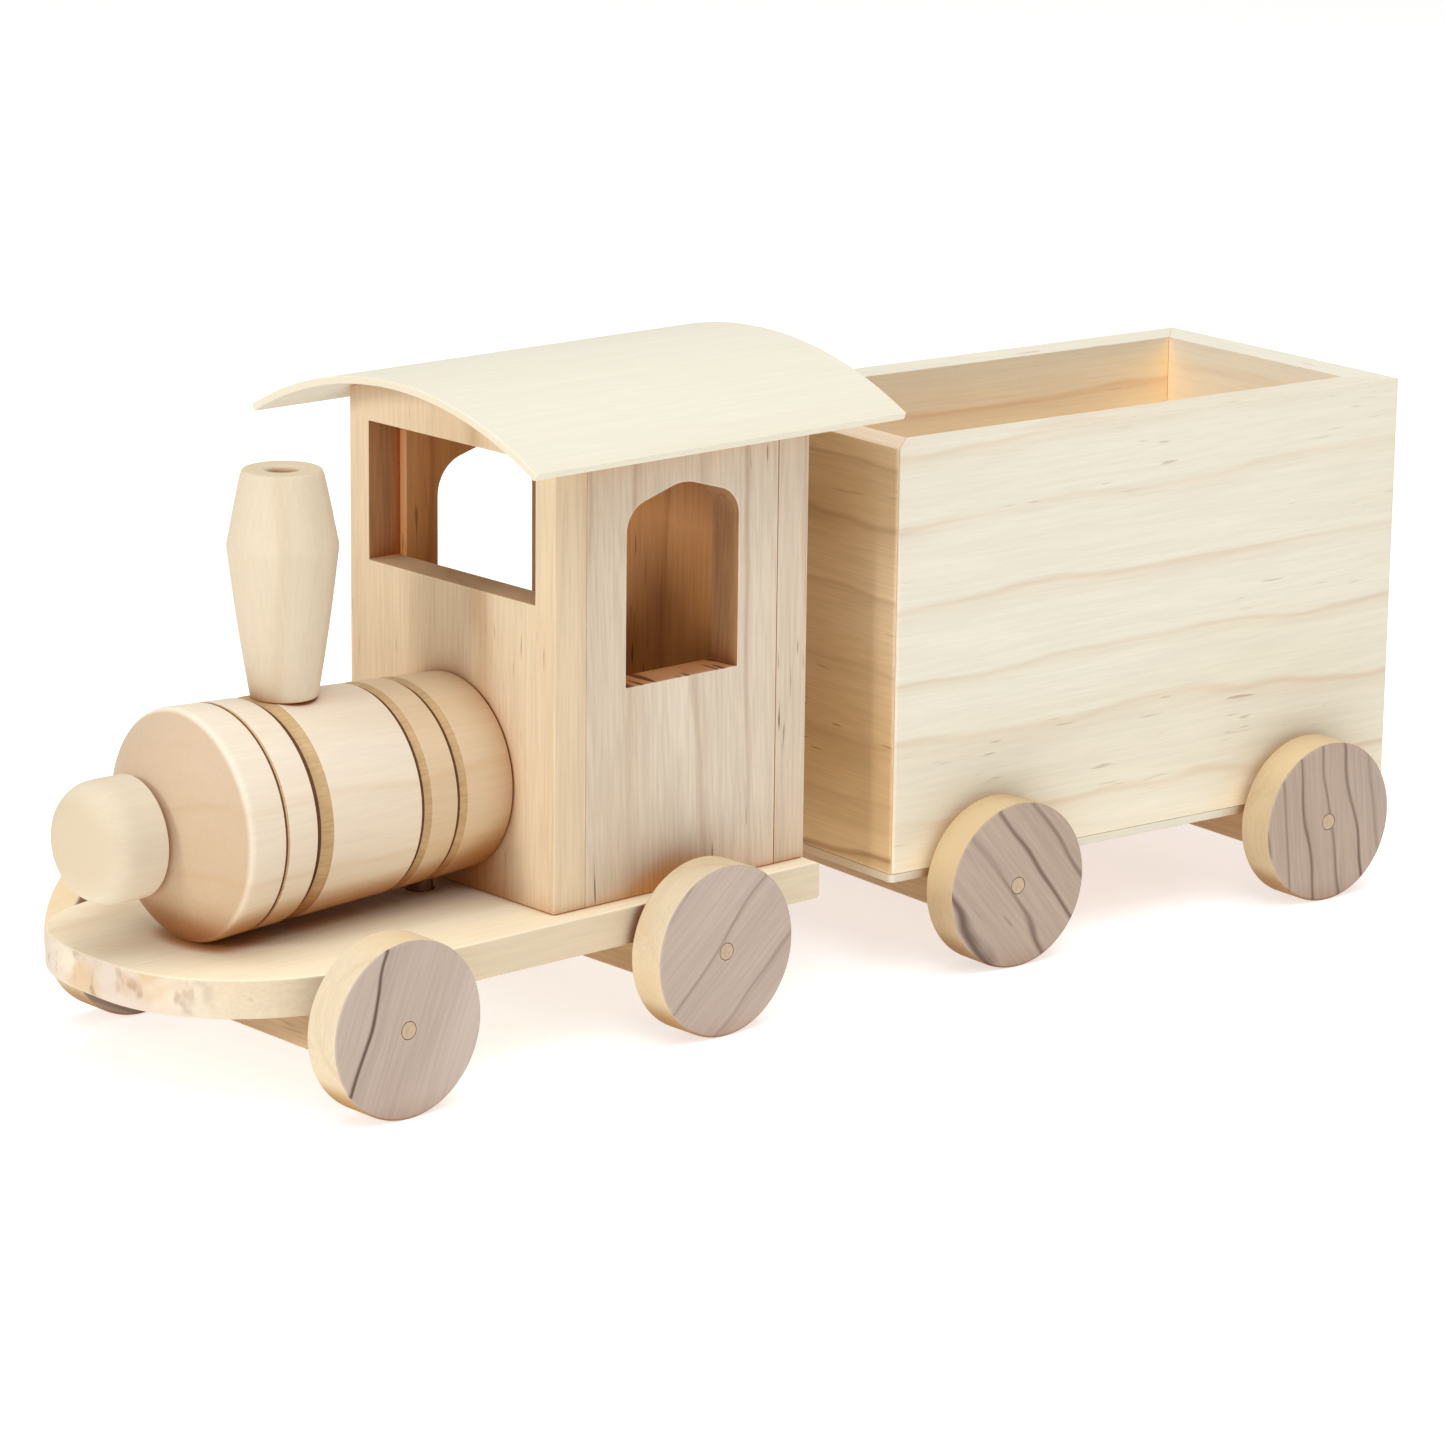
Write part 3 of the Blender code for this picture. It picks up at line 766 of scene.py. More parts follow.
# Painted shade: the boiler behind the third groove, darker as if in the shadow of the cab's roof.
SHADED_REAR_BAND = replace(BOILER_PINE, early=(228, 205, 173), drift=(214, 187, 151), rings=0.5)
# The narrow bottom of each groove, painted dark brown.
DARK_SLIT = Wood(
    early=(116, 72, 40), drift=(100, 62, 34), late=(84, 52, 28), fleck=(70, 42, 24),
    end=(100, 62, 34), spacing=7 * MM, rings=0.5, flecks=0.4, fibres=0.2, wander=0.01,
)
PALE_TURNED = Wood(
    early=(221, 208, 184), drift=(215, 198, 172), late=(197, 173, 140), fleck=(190, 160, 126),
    end=(208, 190, 160), spacing=9 * MM, rings=0.35, flecks=0.08, fibres=0.03, wander=0.008,
    end_share=0.8, rough=0.58, relief=0.02 * MM, painted_light_and_shade=(226, 186, 140), reach=20 * MM,
)
ROOF_PLY = Wood(
    early=(228, 223, 204), drift=(225, 218, 197), late=(219, 209, 186), fleck=(204, 188, 162),
    end=(226, 212, 184), spacing=18 * MM, dark_from=0.4, rings=0.25, flecks=0.05, fibres=0.025,
    wander=0.03, rough=0.62, relief=0.03 * MM,
)
WHEEL_FACE = Wood(
    early=(200, 182, 169), drift=(187, 167, 152), late=(74, 46, 30), fleck=(104, 76, 58),
    end=(190, 170, 155), dark_from=0.66, line=1.3 * MM, flecks=0.55, fibres=0.08,
    wander=0.012, ripple=0.006, rough=0.72, reach=12 * MM,
)
WHEEL_RIM = Wood(
    early=(223, 208, 180), drift=(216, 196, 164), late=(198, 158, 110), fleck=(170, 126, 84),
    end=(226, 202, 160), spacing=8 * MM, rings=0.35, flecks=0.12, fibres=0.06, wander=0.01,
    rough=0.7, painted_light_and_shade=(196, 164, 124), reach=20 * MM,
)
DARKER_RIM = replace(WHEEL_RIM, early=(200, 179, 143), drift=(191, 165, 126))
DOWEL = Wood(
    early=(204, 180, 152), drift=(192, 166, 136), late=(140, 104, 72), fleck=(120, 90, 66),
    end=(202, 182, 162), spacing=1.3 * MM, dark_from=0.4, line=0.5 * MM, rings=0.6, flecks=0.2,
    fibres=0.14, wander=0.002, end_share=0.2, painted_light_and_shade=(170, 112, 62), reach=12 * MM,
)
SHADED_DOWEL = replace(DOWEL, painted_light_and_shade=(140, 88, 50))


def arc(
    centre: Pair, radius: float, start: float, end: float, steps: int = 6
) -> Profile:
    """Points along a round stretch of a profile.

    Args:
        centre: The arc's centre, along and out from the turning axis.
        radius: The arc's radius.
        start: The first angle in degrees, 0 along the axis and 90 straight out.
        end: The last angle.
        steps: The number of pieces.

    Returns:
        The points from start to end.
    """
    points = []
    for step in range(steps + 1):
        angle = math.radians(start + (end - start) * step / steps)
        points.append((centre[0] + radius * math.cos(angle), centre[1] + radius * math.sin(angle)))
    return points


def near(place: Pair, *steps: Pair) -> Profile:
    """Give the points at some steps, in millimetres, from a place."""
    return [(place[0] + along * MM, place[1] + out * MM) for along, out in steps]


def turned(
    profile: Profile, axis: Axis, centre: Pair = (0.0, 0.0), segments: int = 128
) -> Mesh:
    """Turn a profile about an axis.

    Args:
        profile: Distance along and radius of each point. Where the first and last points lie off
            the axis, the profile closes on itself as a ring.
        axis: The axis.
        centre: Where the axis crosses the other two.
        segments: Number of steps round.

    Returns:
        A closed mesh with its faces outwards.
    """
    work = bmesh.new()
    rows = []
    for along, radius in profile:
        if radius < ON_AXIS:
            rows.append([work.verts.new(axis.point(along, *centre))] * segments)
        else:
            row = ((centre[0] + radius * u, centre[1] + radius * v) for u, v in circle(segments))
            rows.append([work.verts.new(axis.point(along, *place)) for place in row])
    if profile[0][1] > ON_AXIS and profile[-1][1] > ON_AXIS:
        rows.append(rows[0])
    return skin(work, rows)


def circle(steps: int) -> Profile:
    """Give the points of a circle of radius 1."""
    turns = (2 * math.pi * step / steps for step in range(steps))
    return [(math.cos(turn), math.sin(turn)) for turn in turns]


def skin(work: Mesh, rows: list[list[bmesh.types.BMVert]]) -> Mesh:
    """Cover a stack of rings with faces.

    Args:
        work: The mesh that holds the rings.
        rows: The rings in order, each with as many vertices as the others.

    Returns:
        The same mesh with its faces outwards.
    """
    for one, two in zip(rows, rows[1:]):
        for step in range(len(one)):
            after = (step + 1) % len(one)
            corners = list(dict.fromkeys((one[step], one[after], two[after], two[step])))
            if len(corners) > 2:
                work.faces.new(corners)
    return outward(work)


def outward(work: Mesh) -> Mesh:
    """Turn a closed mesh's faces outwards and give the mesh back."""
    bmesh.ops.recalc_face_normals(work, faces=work.faces)
    if work.calc_volume(signed=True) < 0:
        bmesh.ops.reverse_faces(work, faces=work.faces)
    return work


def soften(work: Mesh, width: float, steps: int = 3, sharp: float = 35.0) -> None:
    """Round every edge that is sharper than an angle.

    Args:
        work: The mesh.
        width: How far the rounding reaches from the edge.
        steps: The number of pieces across it.
        sharp: The angle in degrees.
    """
    limit = math.radians(sharp)
    edges = [
        edge for edge in work.edges if edge.is_manifold and edge.calc_face_angle(0.0) > limit
    ]
    bmesh.ops.bevel(
        work, geom=edges, offset=width, offset_type="OFFSET", segments=steps, profile=0.5,
        affect="EDGES", clamp_overlap=True,
    )


def tube(path: Sequence[Vector], radius: float, sides: int = 20) -> Mesh:
    """Carry a circle along a path without twist.

    Args:
        path: The points of the centre line.
        radius: The tube's radius.
        sides: Number of steps round.

    Returns:
        A closed mesh with its faces outwards.
    """
    work = bmesh.new()
    rows = []
    side = (path[1] - path[0]).orthogonal().normalized()
    for number, here in enumerate(path):
        ahead = path[min(number + 1, len(path) - 1)] - path[max(number - 1, 0)]
        ahead.normalize()
        side = (side - ahead * side.dot(ahead)).normalized()
        over = ahead.cross(side)
        spokes = (radius * (u * side + v * over) for u, v in circle(sides))
        rows.append([work.verts.new(here + spoke) for spoke in spokes])
    work.faces.new(rows[0])
    work.faces.new(rows[-1])
    return skin(work, rows)


def faces_up(face: Face) -> int:
    """Give 1 for a face that looks upwards and 0 for any other."""
    return int(face.normal.z > FACING)


def faces_back(face: Face) -> int:
    """Give 1 for a face that looks backwards and 0 for any other."""
    return int(face.normal.x > FACING)


@dataclass
class Bench:
    """A body's own axes in the row frame, where its pieces are made.

    Attributes:
        body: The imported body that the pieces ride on.
        axes: The matrix from these axes to the row frame.
        arch_depth: Height of the arched top of a board, where no window reaches.
    """

    body: str
    axes: Matrix
    arch_depth: float = 12 * MM

    def bounds(self, node: str) -> tuple[Vector, Vector]:
        """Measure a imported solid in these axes.

        Args:
            node: The solid's name.

        Returns:
            Its lowest and highest corners.
        """
        inverse = self.axes.inverted()
        points = [inverse @ vert.co for vert in bpy.data.objects[node].data.vertices]
        low = Vector([min(point[i] for point in points) for i in range(3)])
        high = Vector([max(point[i] for point in points) for i in range(3)])
        return low, high

    def blank(self, node: str) -> Mesh:
        """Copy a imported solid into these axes, with each flat face in one piece.

        Args:
            node: The solid's name.

        Returns:
            A mesh to be worked on.
        """
        work = bmesh.new()
        work.from_mesh(bpy.data.objects[node].data)
        work.transform(self.axes.inverted())
        bmesh.ops.remove_doubles(work, verts=work.verts, dist=WELD)
        bmesh.ops.dissolve_limit(
            work, angle_limit=math.radians(FLAT_WITHIN), verts=work.verts, edges=work.edges
        )
        return work

    def fill(self, work: Mesh, spare: Spare) -> None:
        """Stretch a mesh's box so that the joints beside it close.

        Args:
            work: The mesh.
            spare: How much to add at the low and high end of X, Y and Z.
        """
        for axis, (below, above) in enumerate(spare):
            low = min(vert.co[axis] for vert in work.verts)
            high = max(vert.co[axis] for vert in work.verts)
            scale = (high - low + below + above) / (high - low)
            for vert in work.verts:
                vert.co[axis] = low - below + (vert.co[axis] - low) * scale

    def put(
        self,
        work: Mesh,
        name: str,
        nodes: Iterable[str],
        slot: str,
        materials: Sequence[Material],
        paint: Paint | None = None,
    ) -> Object:
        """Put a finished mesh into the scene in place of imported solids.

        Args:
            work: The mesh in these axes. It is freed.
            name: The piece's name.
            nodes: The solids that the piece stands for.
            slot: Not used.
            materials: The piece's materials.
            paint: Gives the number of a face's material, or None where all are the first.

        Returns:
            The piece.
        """
        if paint is not None:
            work.normal_update()
            for face in work.faces:
                face.material_index = paint(face)
        mesh = bpy.data.meshes.new(name)
        work.to_mesh(mesh)
        work.free()
        mesh.shade_smooth()
        mesh.set_sharp_from_angle(angle=math.radians(SHARP_FROM))
        for material in materials:
            mesh.materials.append(material)
        piece = bpy.data.objects.new(name, mesh)
        bpy.context.scene.collection.objects.link(piece)
        piece.matrix_world = self.axes
        normals = piece.modifiers.new("flat_faces", "WEIGHTED_NORMAL")
        normals.keep_sharp = True
        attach(piece, self.body)
        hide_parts(*nodes)
        LOG.info("%s: %d faces", name, len(mesh.polygons))
        return piece

    def board(
        self,
        node: str,
        name: str,
        slot: str,
        material: Material,
        ease: float = 0.4 * MM,
        spare: Spare = (FLUSH, FLUSH, FLUSH),
        second: Material | None = None,
        paint: Paint | None = None,
    ) -> Object:
        """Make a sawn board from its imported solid, with its edges eased.

        Args:
            node: The solid's name.
            name: The piece's name.
            slot: The record's material slot.
            material: The board's material.
            ease: How far the easing reaches from each edge.
            spare: How much to add at the low and high end of X, Y and Z.
            second: The material of the faces that paint numbers 1, or None for a single one.
            paint: Gives the number of a face's material.

        Returns:
            The board.
        """
        work = self.blank(node)
        self.fill(work, spare)
        soften(work, ease)
        materials = [material] if second is None else [material, second]
        return self.put(work, name, [node], slot, materials, paint)

    def axle_block(self, node: str, cut: Cut) -> None:
        """Make the cross block that holds an axle.

        Args:
            node: The solid's name.
            cut: How it was cut.
        """
        self.board(node, f"{node}_wood", "block_pine", BLOCK_PINE.material(node, cut))

    def window_paint(self, node: str, across: Axis) -> Paint:
        """Choose the sawn faces inside a board's window.

        Args:
            node: The solid's name.
            across: The axis across the board.

        Returns:
            A function that gives 1 inside the window and 0 elsewhere.
        """
        low, high = self.bounds(node)
        thickness = "XYZ".index(across.value)
        others = [axis for axis in range(3) if axis != thickness]

        def paint(face: Face) -> int:
            """Tell the inside of the window, 1, from the board's outside and the sill, 0."""
            if abs(face.normal[thickness]) > 0.5 or face.normal.z > 0.5:
                return 0
            middle = face.calc_center_median()
            within = (low[axis] + EDGE < middle[axis] < high[axis] - EDGE for axis in others)
            below_top = middle.z < high.z - self.arch_depth
            return int(all(within) and below_top)

        return paint


@dataclass(frozen=True)
class Disc:
    """How one wheel was sawn.

    Attributes:
        angle: Direction of the rings across the face, in degrees.
        heart: How far the log's heart is from the wheel's centre.
        spacing: Distance from ring to ring.
        rings: Strength of the rings.
        broad: Share of their broad faint part.
        early: Colour between the rings.
    """

    angle: float
    heart: float
    spacing: float
    rings: float = 0.95
    broad: float = 0.5
    early: Colour = WHEEL_FACE.early


@dataclass
class Wheelset:
    """An axle dowel with a wheel pressed on each end.

    Attributes:
        bench: The axes on the axle's centre line.
        prefix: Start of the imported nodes' names.
        discs: How the near and the far wheel were sawn.
        rim: The finish of the wheels' rims.
        round_off: Radius of the wheel's eased rims.
        nick: Width of the hole's broken edge.
        play: Gap between the dowel and the wheel's hole, as it shows.
        sanded: How much sanding took off each face.
        dowel_ease: Radius of the dowel's eased ends.
        dowel_dome: How far the middle of each end stands out.
    """

    bench: Bench
    prefix: str
    discs: tuple[Disc, Disc]
    rim: Wood = WHEEL_RIM
    round_off: float = 0.7 * MM
    nick: float = 0.12 * MM
    play: float = 0.05 * MM
    sanded: float = 0.05 * MM
    dowel_ease: float = 0.35 * MM
    dowel_dome: float = 0.02 * MM

    def wheel_profile(self, inner: float, outer: float, radius: float, bore: float) -> Profile:
        """Draw one wheel's section.

        Args:
            inner: Y of the face towards the vehicle.
            outer: Y of the other face.
            radius: The wheel's radius.
            bore: The hole's radius.

        Returns:
            The section as a closed ring.
        """
        low, high = sorted((inner, outer))
        ease, nick = self.round_off, self.nick
        points = [(low, bore + nick)]
        points += arc((low + ease, radius - ease), ease, 180, 90, 7)
        points += arc((high - ease, radius - ease), ease, 90, 0, 7)
        points += [(high, bore + nick), (high - nick, bore), (low + nick, bore)]
        return points

    def dress(self, side: Side) -> list[Material]:
        """Make one wheel's materials.

        Args:
            side: Which wheel of the pair.

        Returns:
            The face's and the rim's material.
        """
        disc = self.discs[0 if side is Side.NEAR else 1]
        label = f"{self.prefix}_{side.name.lower()}"
        along = sum(ord(letter) for letter in label) * 0.37
        cut = Cut(pith=(0.004, disc.heart), along=along, tilt=(0.0, disc.angle, 0.0))
        face = replace(
            WHEEL_FACE, spacing=disc.spacing, rings=disc.rings, broad=disc.broad, early=disc.early
        )
        finishes = (("face", face), ("rim", self.rim))
        return [finish.material(f"wheel_{part}_{label}", cut) for part, finish in finishes]

    def build(self) -> None:
        """Build the axle and both wheels."""
        axle = f"{self.prefix}_axle"
        low, high = self.bench.bounds(axle)
        radius = (high.z - low.z) / 2
        for side in Side:
            node = f"{self.prefix}_wheel_{side.name.lower()}"
            near, far = self.bench.bounds(node)
            profile = self.wheel_profile(
                near.y + self.sanded, far.y - self.sanded, far.z, radius + self.play
            )
            work = turned(profile, Axis.Y, segments=144)
            face_limit = (far.z - 0.3 * self.round_off) ** 2

            def paint(face: Face, limit: float = face_limit) -> int:
                """Tell a wheel's flat faces, 0, from its rim, 1."""
                middle = face.calc_center_median()
                return int(middle.x**2 + middle.z**2 > limit)

            woods = self.dress(side)
            self.bench.put(work, f"{node}_turned", [node], "end_grain_wheel", woods, paint)

        ease, dome = self.dowel_ease, self.dowel_dome
        profile = [(low.y, 0.0), (low.y + dome, radius - 2 * ease)]
        profile += arc((low.y + ease, radius - ease), ease, 180, 90, 4)
        profile += arc((high.y - ease, radius - ease), ease, 90, 0, 4)
        profile += [(high.y - dome, radius - 2 * ease), (high.y, 0.0)]
        material = DOWEL.material(
            f"dowel_{self.prefix}", Cut(Grain.ALONG_Y, (0.0004, 0.0003), low.y * 7)
        )
        self.bench.put(
            turned(profile, Axis.Y, segments=48), axle + "_dowel", [axle], "dowel_birch", [material]
        )


@dataclass
class BoxCar:
    """The open box: four mitred boards on a thin floor, with an axle block under each end.

    Attributes:
        bench: The car's axes.
        board_ease: Easing of the boards' edges.
        joint: How far each board's mitres reach into the joints, so that they close.
        bed: How far the walls reach down to the floor.
        walls: How each board was cut, by its node.
    """

    bench: Bench
    board_ease: float = 0.2 * MM
    joint: float = 0.18 * MM
    bed: float = 0.2 * MM
    walls: dict[str, Cut] = field(
        default_factory=lambda: {
            "car_side_wall_near": Cut(Grain.ALONG_X, (0.05, 0.07), 0.3, (0.0, 1.0, 0.0)),
            "car_side_wall_far": Cut(Grain.ALONG_X, (-0.05, 0.06), 1.7),
            "car_front_wall": Cut(Grain.ALONG_Y, (0.02, 0.065), 2.6),
            "car_rear_wall": Cut(Grain.ALONG_Y, (-0.16, 0.08), 4.1),
        }
    )

    def build(self) -> None:
        """Build the car."""
        for node, cut in self.walls.items():
            finish = CAR_FRONT_PINE if node == "car_front_wall" else CAR_PINE
            material = finish.material(f"finish_{node}", cut)
            ends = (self.joint, self.joint)
            spare = (*((ends, FLUSH) if "side" in node else (FLUSH, ends)), (self.bed, 0.0))
            self.bench.board(
                node, f"{node}_board", "pale_pine_board", material, self.board_ease, spare
            )
        floor = ROOF_PLY.material("finish_car_floor", Cut(Grain.ALONG_X, (0.1, 0.12), 5.2))
        self.bench.board("car_floor", "car_floor_sheet", "thin_ply", floor, SHEET_EASE)
        for number, end in enumerate(("front", "rear")):
            cut = Cut(Grain.ALONG_Y, (0.03, 0.02), 6.0 + number)
            self.bench.axle_block(f"car_axle_block_{end}", cut)


@dataclass
class Engine:
    """The locomotive's base with its boiler, knob and chimney.

    Attributes:
        bench: The locomotive's axes.
        grooves: Distance behind the nose, half width and depth of each turned groove. The tool
            left its front side steep and its rear side sloping.
        nose_length: Length of the boiler's cone.
        nose_radius: Radius of the cone's small end.
        taper: Radius of the boiler's rear end as a share of its front end's.
        knob_gap: Gap between the knob and the nose.
        knob_sanded: How much sanding took off the knob's front.
        crown: Radius of the knob's rounded front edge.
        lip: Radius of the knob's rear edge and of the chimney's top edge.
        spigot: How far the chimney reaches into the boiler.
        chimney_radii: Radii of the chimney's foot, of its top and of its bore.
        chimney_share: Height of the chimney's widest place, as a share from its seat to its top.
    """

    bench: Bench
    grooves: tuple[Triple, ...] = (
        (22.3 * MM, 0.45 * MM, 0.25 * MM),
        (32.9 * MM, 2.2 * MM, 1.4 * MM),
        (61.9 * MM, 1.4 * MM, 0.8 * MM),
        (72.3 * MM, 1.4 * MM, 0.8 * MM),
    )
    nose_length: float = 12.8 * MM
    nose_radius: float = 10.6 * MM
    taper: float = 0.869
    knob_gap: float = 0.05 * MM
    knob_sanded: float = 0.02 * MM
    crown: float = 8.2 * MM
    lip: float = 0.7 * MM
    spigot: float = 9 * MM
    chimney_radii: Triple = (7.5 * MM, 8.9 * MM, 3.5 * MM)
    chimney_share: float = 0.665

    def build(self) -> None:
        """Build the base and what stands on it."""
        cut = Cut(Grain.ALONG_X, (0.02, 0.05), 8.3)
        # The faces that look up take the lighter copy of the pine, which is painted light.
        base = BASE_PINE.material("finish_base", cut)
        top = LIT_BASE_TOP.material("finish_base_top", cut)
        self.bench.board(
            "loco_base", "loco_base_board", "pale_pine_board", base, second=top, paint=faces_up
        )
        for number, end in enumerate(("front", "rear")):
            cut = Cut(Grain.ALONG_Y, (0.025, 0.03), 9.0 + number)
            self.bench.axle_block(f"loco_axle_block_{end}", cut)
            peg = f"boiler_peg_{end}"
            peg_cut = Cut(Grain.ALONG_Z, (0.003, 0.15), 11.0 + number)
            wood = SHADED_DOWEL.material(peg, peg_cut)
            self.bench.board(peg, f"{peg}_dowel", "dowel_birch", wood)
        self.build_boiler()
        self.build_knob()
        self.build_chimney()

    def build_boiler(self) -> None:
        """Turn the boiler with its grooves and its cone."""
        low, high = self.bench.bounds("boiler")
        front = (high.z - low.z) / 2
        middle = (high.z + low.z) / 2
        shoulder = low.x + self.nose_length
        drop = front * (1 - self.taper) / (high.x - shoulder)

        def radius(x: float) -> float:
            """Radius of the plain taper at x."""
            return front - drop * (x - shoulder)

        profile = [(low.x, 0.0)]
        profile += near((low.x, self.nose_radius), (0, -0.8), (0.15, -0.3), (0.6, 0.2))
        profile += near((shoulder, front), (-0.9, -1.1), (-0.3, -0.5), (0.3, -0.12), (1.2, 0))
        for behind, half, depth in self.grooves:
            start = low.x + behind - half
            end = low.x + behind + half
            slit = self.slit(depth)
            slope = depth / (2 * half)
            profile += near((start, radius(start)), (-0.2, 0), (0, -0.12))
            profile += near((start, radius(start) - depth), (0.05, 0))
            profile.append((start + slit, radius(start) - depth + slope * slit))
            profile += near((end, radius(end) - 0.3 * slope * half), (-0.2, 0))
            profile += near((end, radius(end)), (0.1, 0))
        profile += near((high.x, radius(high.x)), (-0.3, 0), (0, -0.3))
        profile.append((high.x, 0.0))
        work = turned(profile, Axis.X, (0.0, middle), 160)
        cut = Cut(Grain.ALONG_X, (0.012, -middle + 0.035), 12.4)
        finishes = (
            ("", BOILER_PINE), ("_flank", SHADED_FLANK), ("_slit", DARK_SLIT), ("_rear", SHADED_REAR_BAND)
        )
        woods = [wood.material(f"finish_boiler{part}", cut) for part, wood in finishes]
        self.bench.put(
            work, "boiler_turned", ["boiler"], "turned_pine", woods, self.groove_paint(low.x)
        )

    def slit(self, depth: float) -> float:
        """Give the width of a groove's dark bottom, which grows with its depth."""
        return 0.3 * MM + 0.9 * depth

    def groove_paint(self, nose: float) -> Paint:
        """Choose which of the boiler's faces lie in a groove.

        Args:
            nose: X of the boiler's front end.

        Returns:
            A function that gives 0 for the plain wood, 1 for a flank in painted shade, 2 for a dark
            slit and 3 for the wood behind the third groove, which is in painted shade.
        """

        def paint(face: Face) -> int:
            """Tell the slits and flanks from the rest."""
            for behind, half, depth in self.grooves:
                into = face.calc_center_median().x - nose - behind + half
                if 0 < into < 2 * half:
                    return 2 if into < self.slit(depth) else 1
            return 3 if face.calc_center_median().x > nose + self.grooves[2][0] else 0

        return paint

    def build_knob(self) -> None:
        """Turn the knob on the boiler's nose."""
        low, high = self.bench.bounds("boiler_knob")
        nose = self.bench.bounds("boiler")[0].x
        radius = (high.z - low.z) / 2
        middle = (high.z + low.z) / 2
        back = nose - self.knob_gap
        front = low.x + self.knob_sanded
        crown, lip = self.crown, self.lip
        profile = [(front, 0.0)]
        profile += arc((front + crown, radius - crown), crown, 180, 90, 14)
        profile += arc((back - lip, radius - lip), lip, 90, 0, 4)
        profile += [(back, 0.0)]
        cut = Cut(Grain.ALONG_X, (0.006, -middle + 0.004), 14.9)
        self.bench.put(
            turned(profile, Axis.X, (0.0, middle), 112), "boiler_knob_turned", ["boiler_knob"],
            "pale_turned_wood", [PALE_TURNED.material("finish_knob", cut)],
        )

    def build_chimney(self) -> None:
        """Turn the chimney, with the bore in its top."""
        low, high = self.bench.bounds("chimney")
        middle = (low.x + high.x) / 2
        seat = low.z + self.spigot
        rise = high.z - seat
        waist = seat + self.chimney_share * rise
        widest = (high.x - low.x) / 2
        foot, rim, bore = self.chimney_radii

        def swell(share: float, start: float, end: float, bulge: float) -> float:
            """Radius at a share of the way from start to end, bowed outwards."""
            return start + share * (end - start) + bulge * math.sin(math.pi * share)

        profile = [(seat, 0.0), *near((seat, foot), (0, -0.3), (0.3, 0))]
        for step in range(1, 16):
            share = step / 16
            profile.append((seat + share * (waist - seat), swell(share, foot, widest, 0.25 * MM)))
        profile += near((waist, widest), (-0.4, -0.02), (0.4, -0.02))
        for step in range(2, 12):
            share = step / 12
            profile.append((waist + share * (high.z - waist), swell(share, widest, rim, 0.1 * MM)))
        profile += arc((high.z - self.lip, rim - self.lip), self.lip, 70, 0, 5)
        profile += near((high.z, bore), (0, 1), (-0.15, 0.5), (-0.6, 0.1), (-1.4, 0), (-9, 0))
        profile += near((high.z, 0.0), (-10.5, 0))
        cut = Cut(Grain.ALONG_Z, (0.01, 0.13), 16.2)
        work = turned(profile, Axis.Z, (middle, 0.0), 112)
        self.bench.put(
            work, "chimney_turned", ["chimney"], "pale_turned_wood",
            [PALE_TURNED.material("finish_chimney", cut)],
        )


@dataclass
class Cab:
    """The cab's four panels and the bent sheet over them.

    Attributes:
        bench: The locomotive's axes.
        joint: How far a side panel reaches towards the front one, so that the joint closes.
        rear_joint: How far it reaches towards the rear one.
        bed: How far the panels reach down to the base.
        ease: Easing of the panels' edges.
        panels: How each panel was cut, by its node.
    """

    bench: Bench
    joint: float = 0.26 * MM
    rear_joint: float = 0.1 * MM
    bed: float = 0.2 * MM
    ease: float = 0.2 * MM
    panels: dict[str, Cut] = field(
        default_factory=lambda: {
            "cab_front_panel": Cut(Grain.ALONG_Z, (0.06, 0.13), 18.3),
            "cab_rear_panel": Cut(Grain.ALONG_Z, (-0.05, 0.08), 19.8),
            "cab_side_panel_near": Cut(Grain.ALONG_Z, (0.07, 0.05), 21.1, (0.0, 2.0, 2.0)),
            "cab_side_panel_far": Cut(Grain.ALONG_Z, (-0.06, 0.07), 22.7),
        }
    )

    def build(self) -> None:
        """Build the cab."""
        for node, cut in self.panels.items():
            finish = CAB_FRONT_PINE if node == "cab_front_panel" else CAB_PINE
            side = "side" in node
            material = finish.material(f"finish_{node}", cut)
            spare = ((self.joint, self.rear_joint) if side else FLUSH, FLUSH, (self.bed, 0.0))
            if node == "cab_rear_panel":
                second = CAB_BACK_PINE.material(f"finish_{node}_outside", cut)
                paint = faces_back
            else:
                second = REVEAL.material(f"finish_{node}_reveal", cut)
                paint = self.bench.window_paint(node, Axis.Y if side else Axis.X)
            self.bench.board(
                node, f"{node}_board", "cab_pine_board", material, self.ease, spare, second, paint
            )
        roof = ROOF_PLY.material("finish_roof", Cut(Grain.ALONG_X, (0.1, 0.05), 24.4))
        self.bench.board("cab_roof", "cab_roof_sheet", "thin_ply", roof, SHEET_EASE)


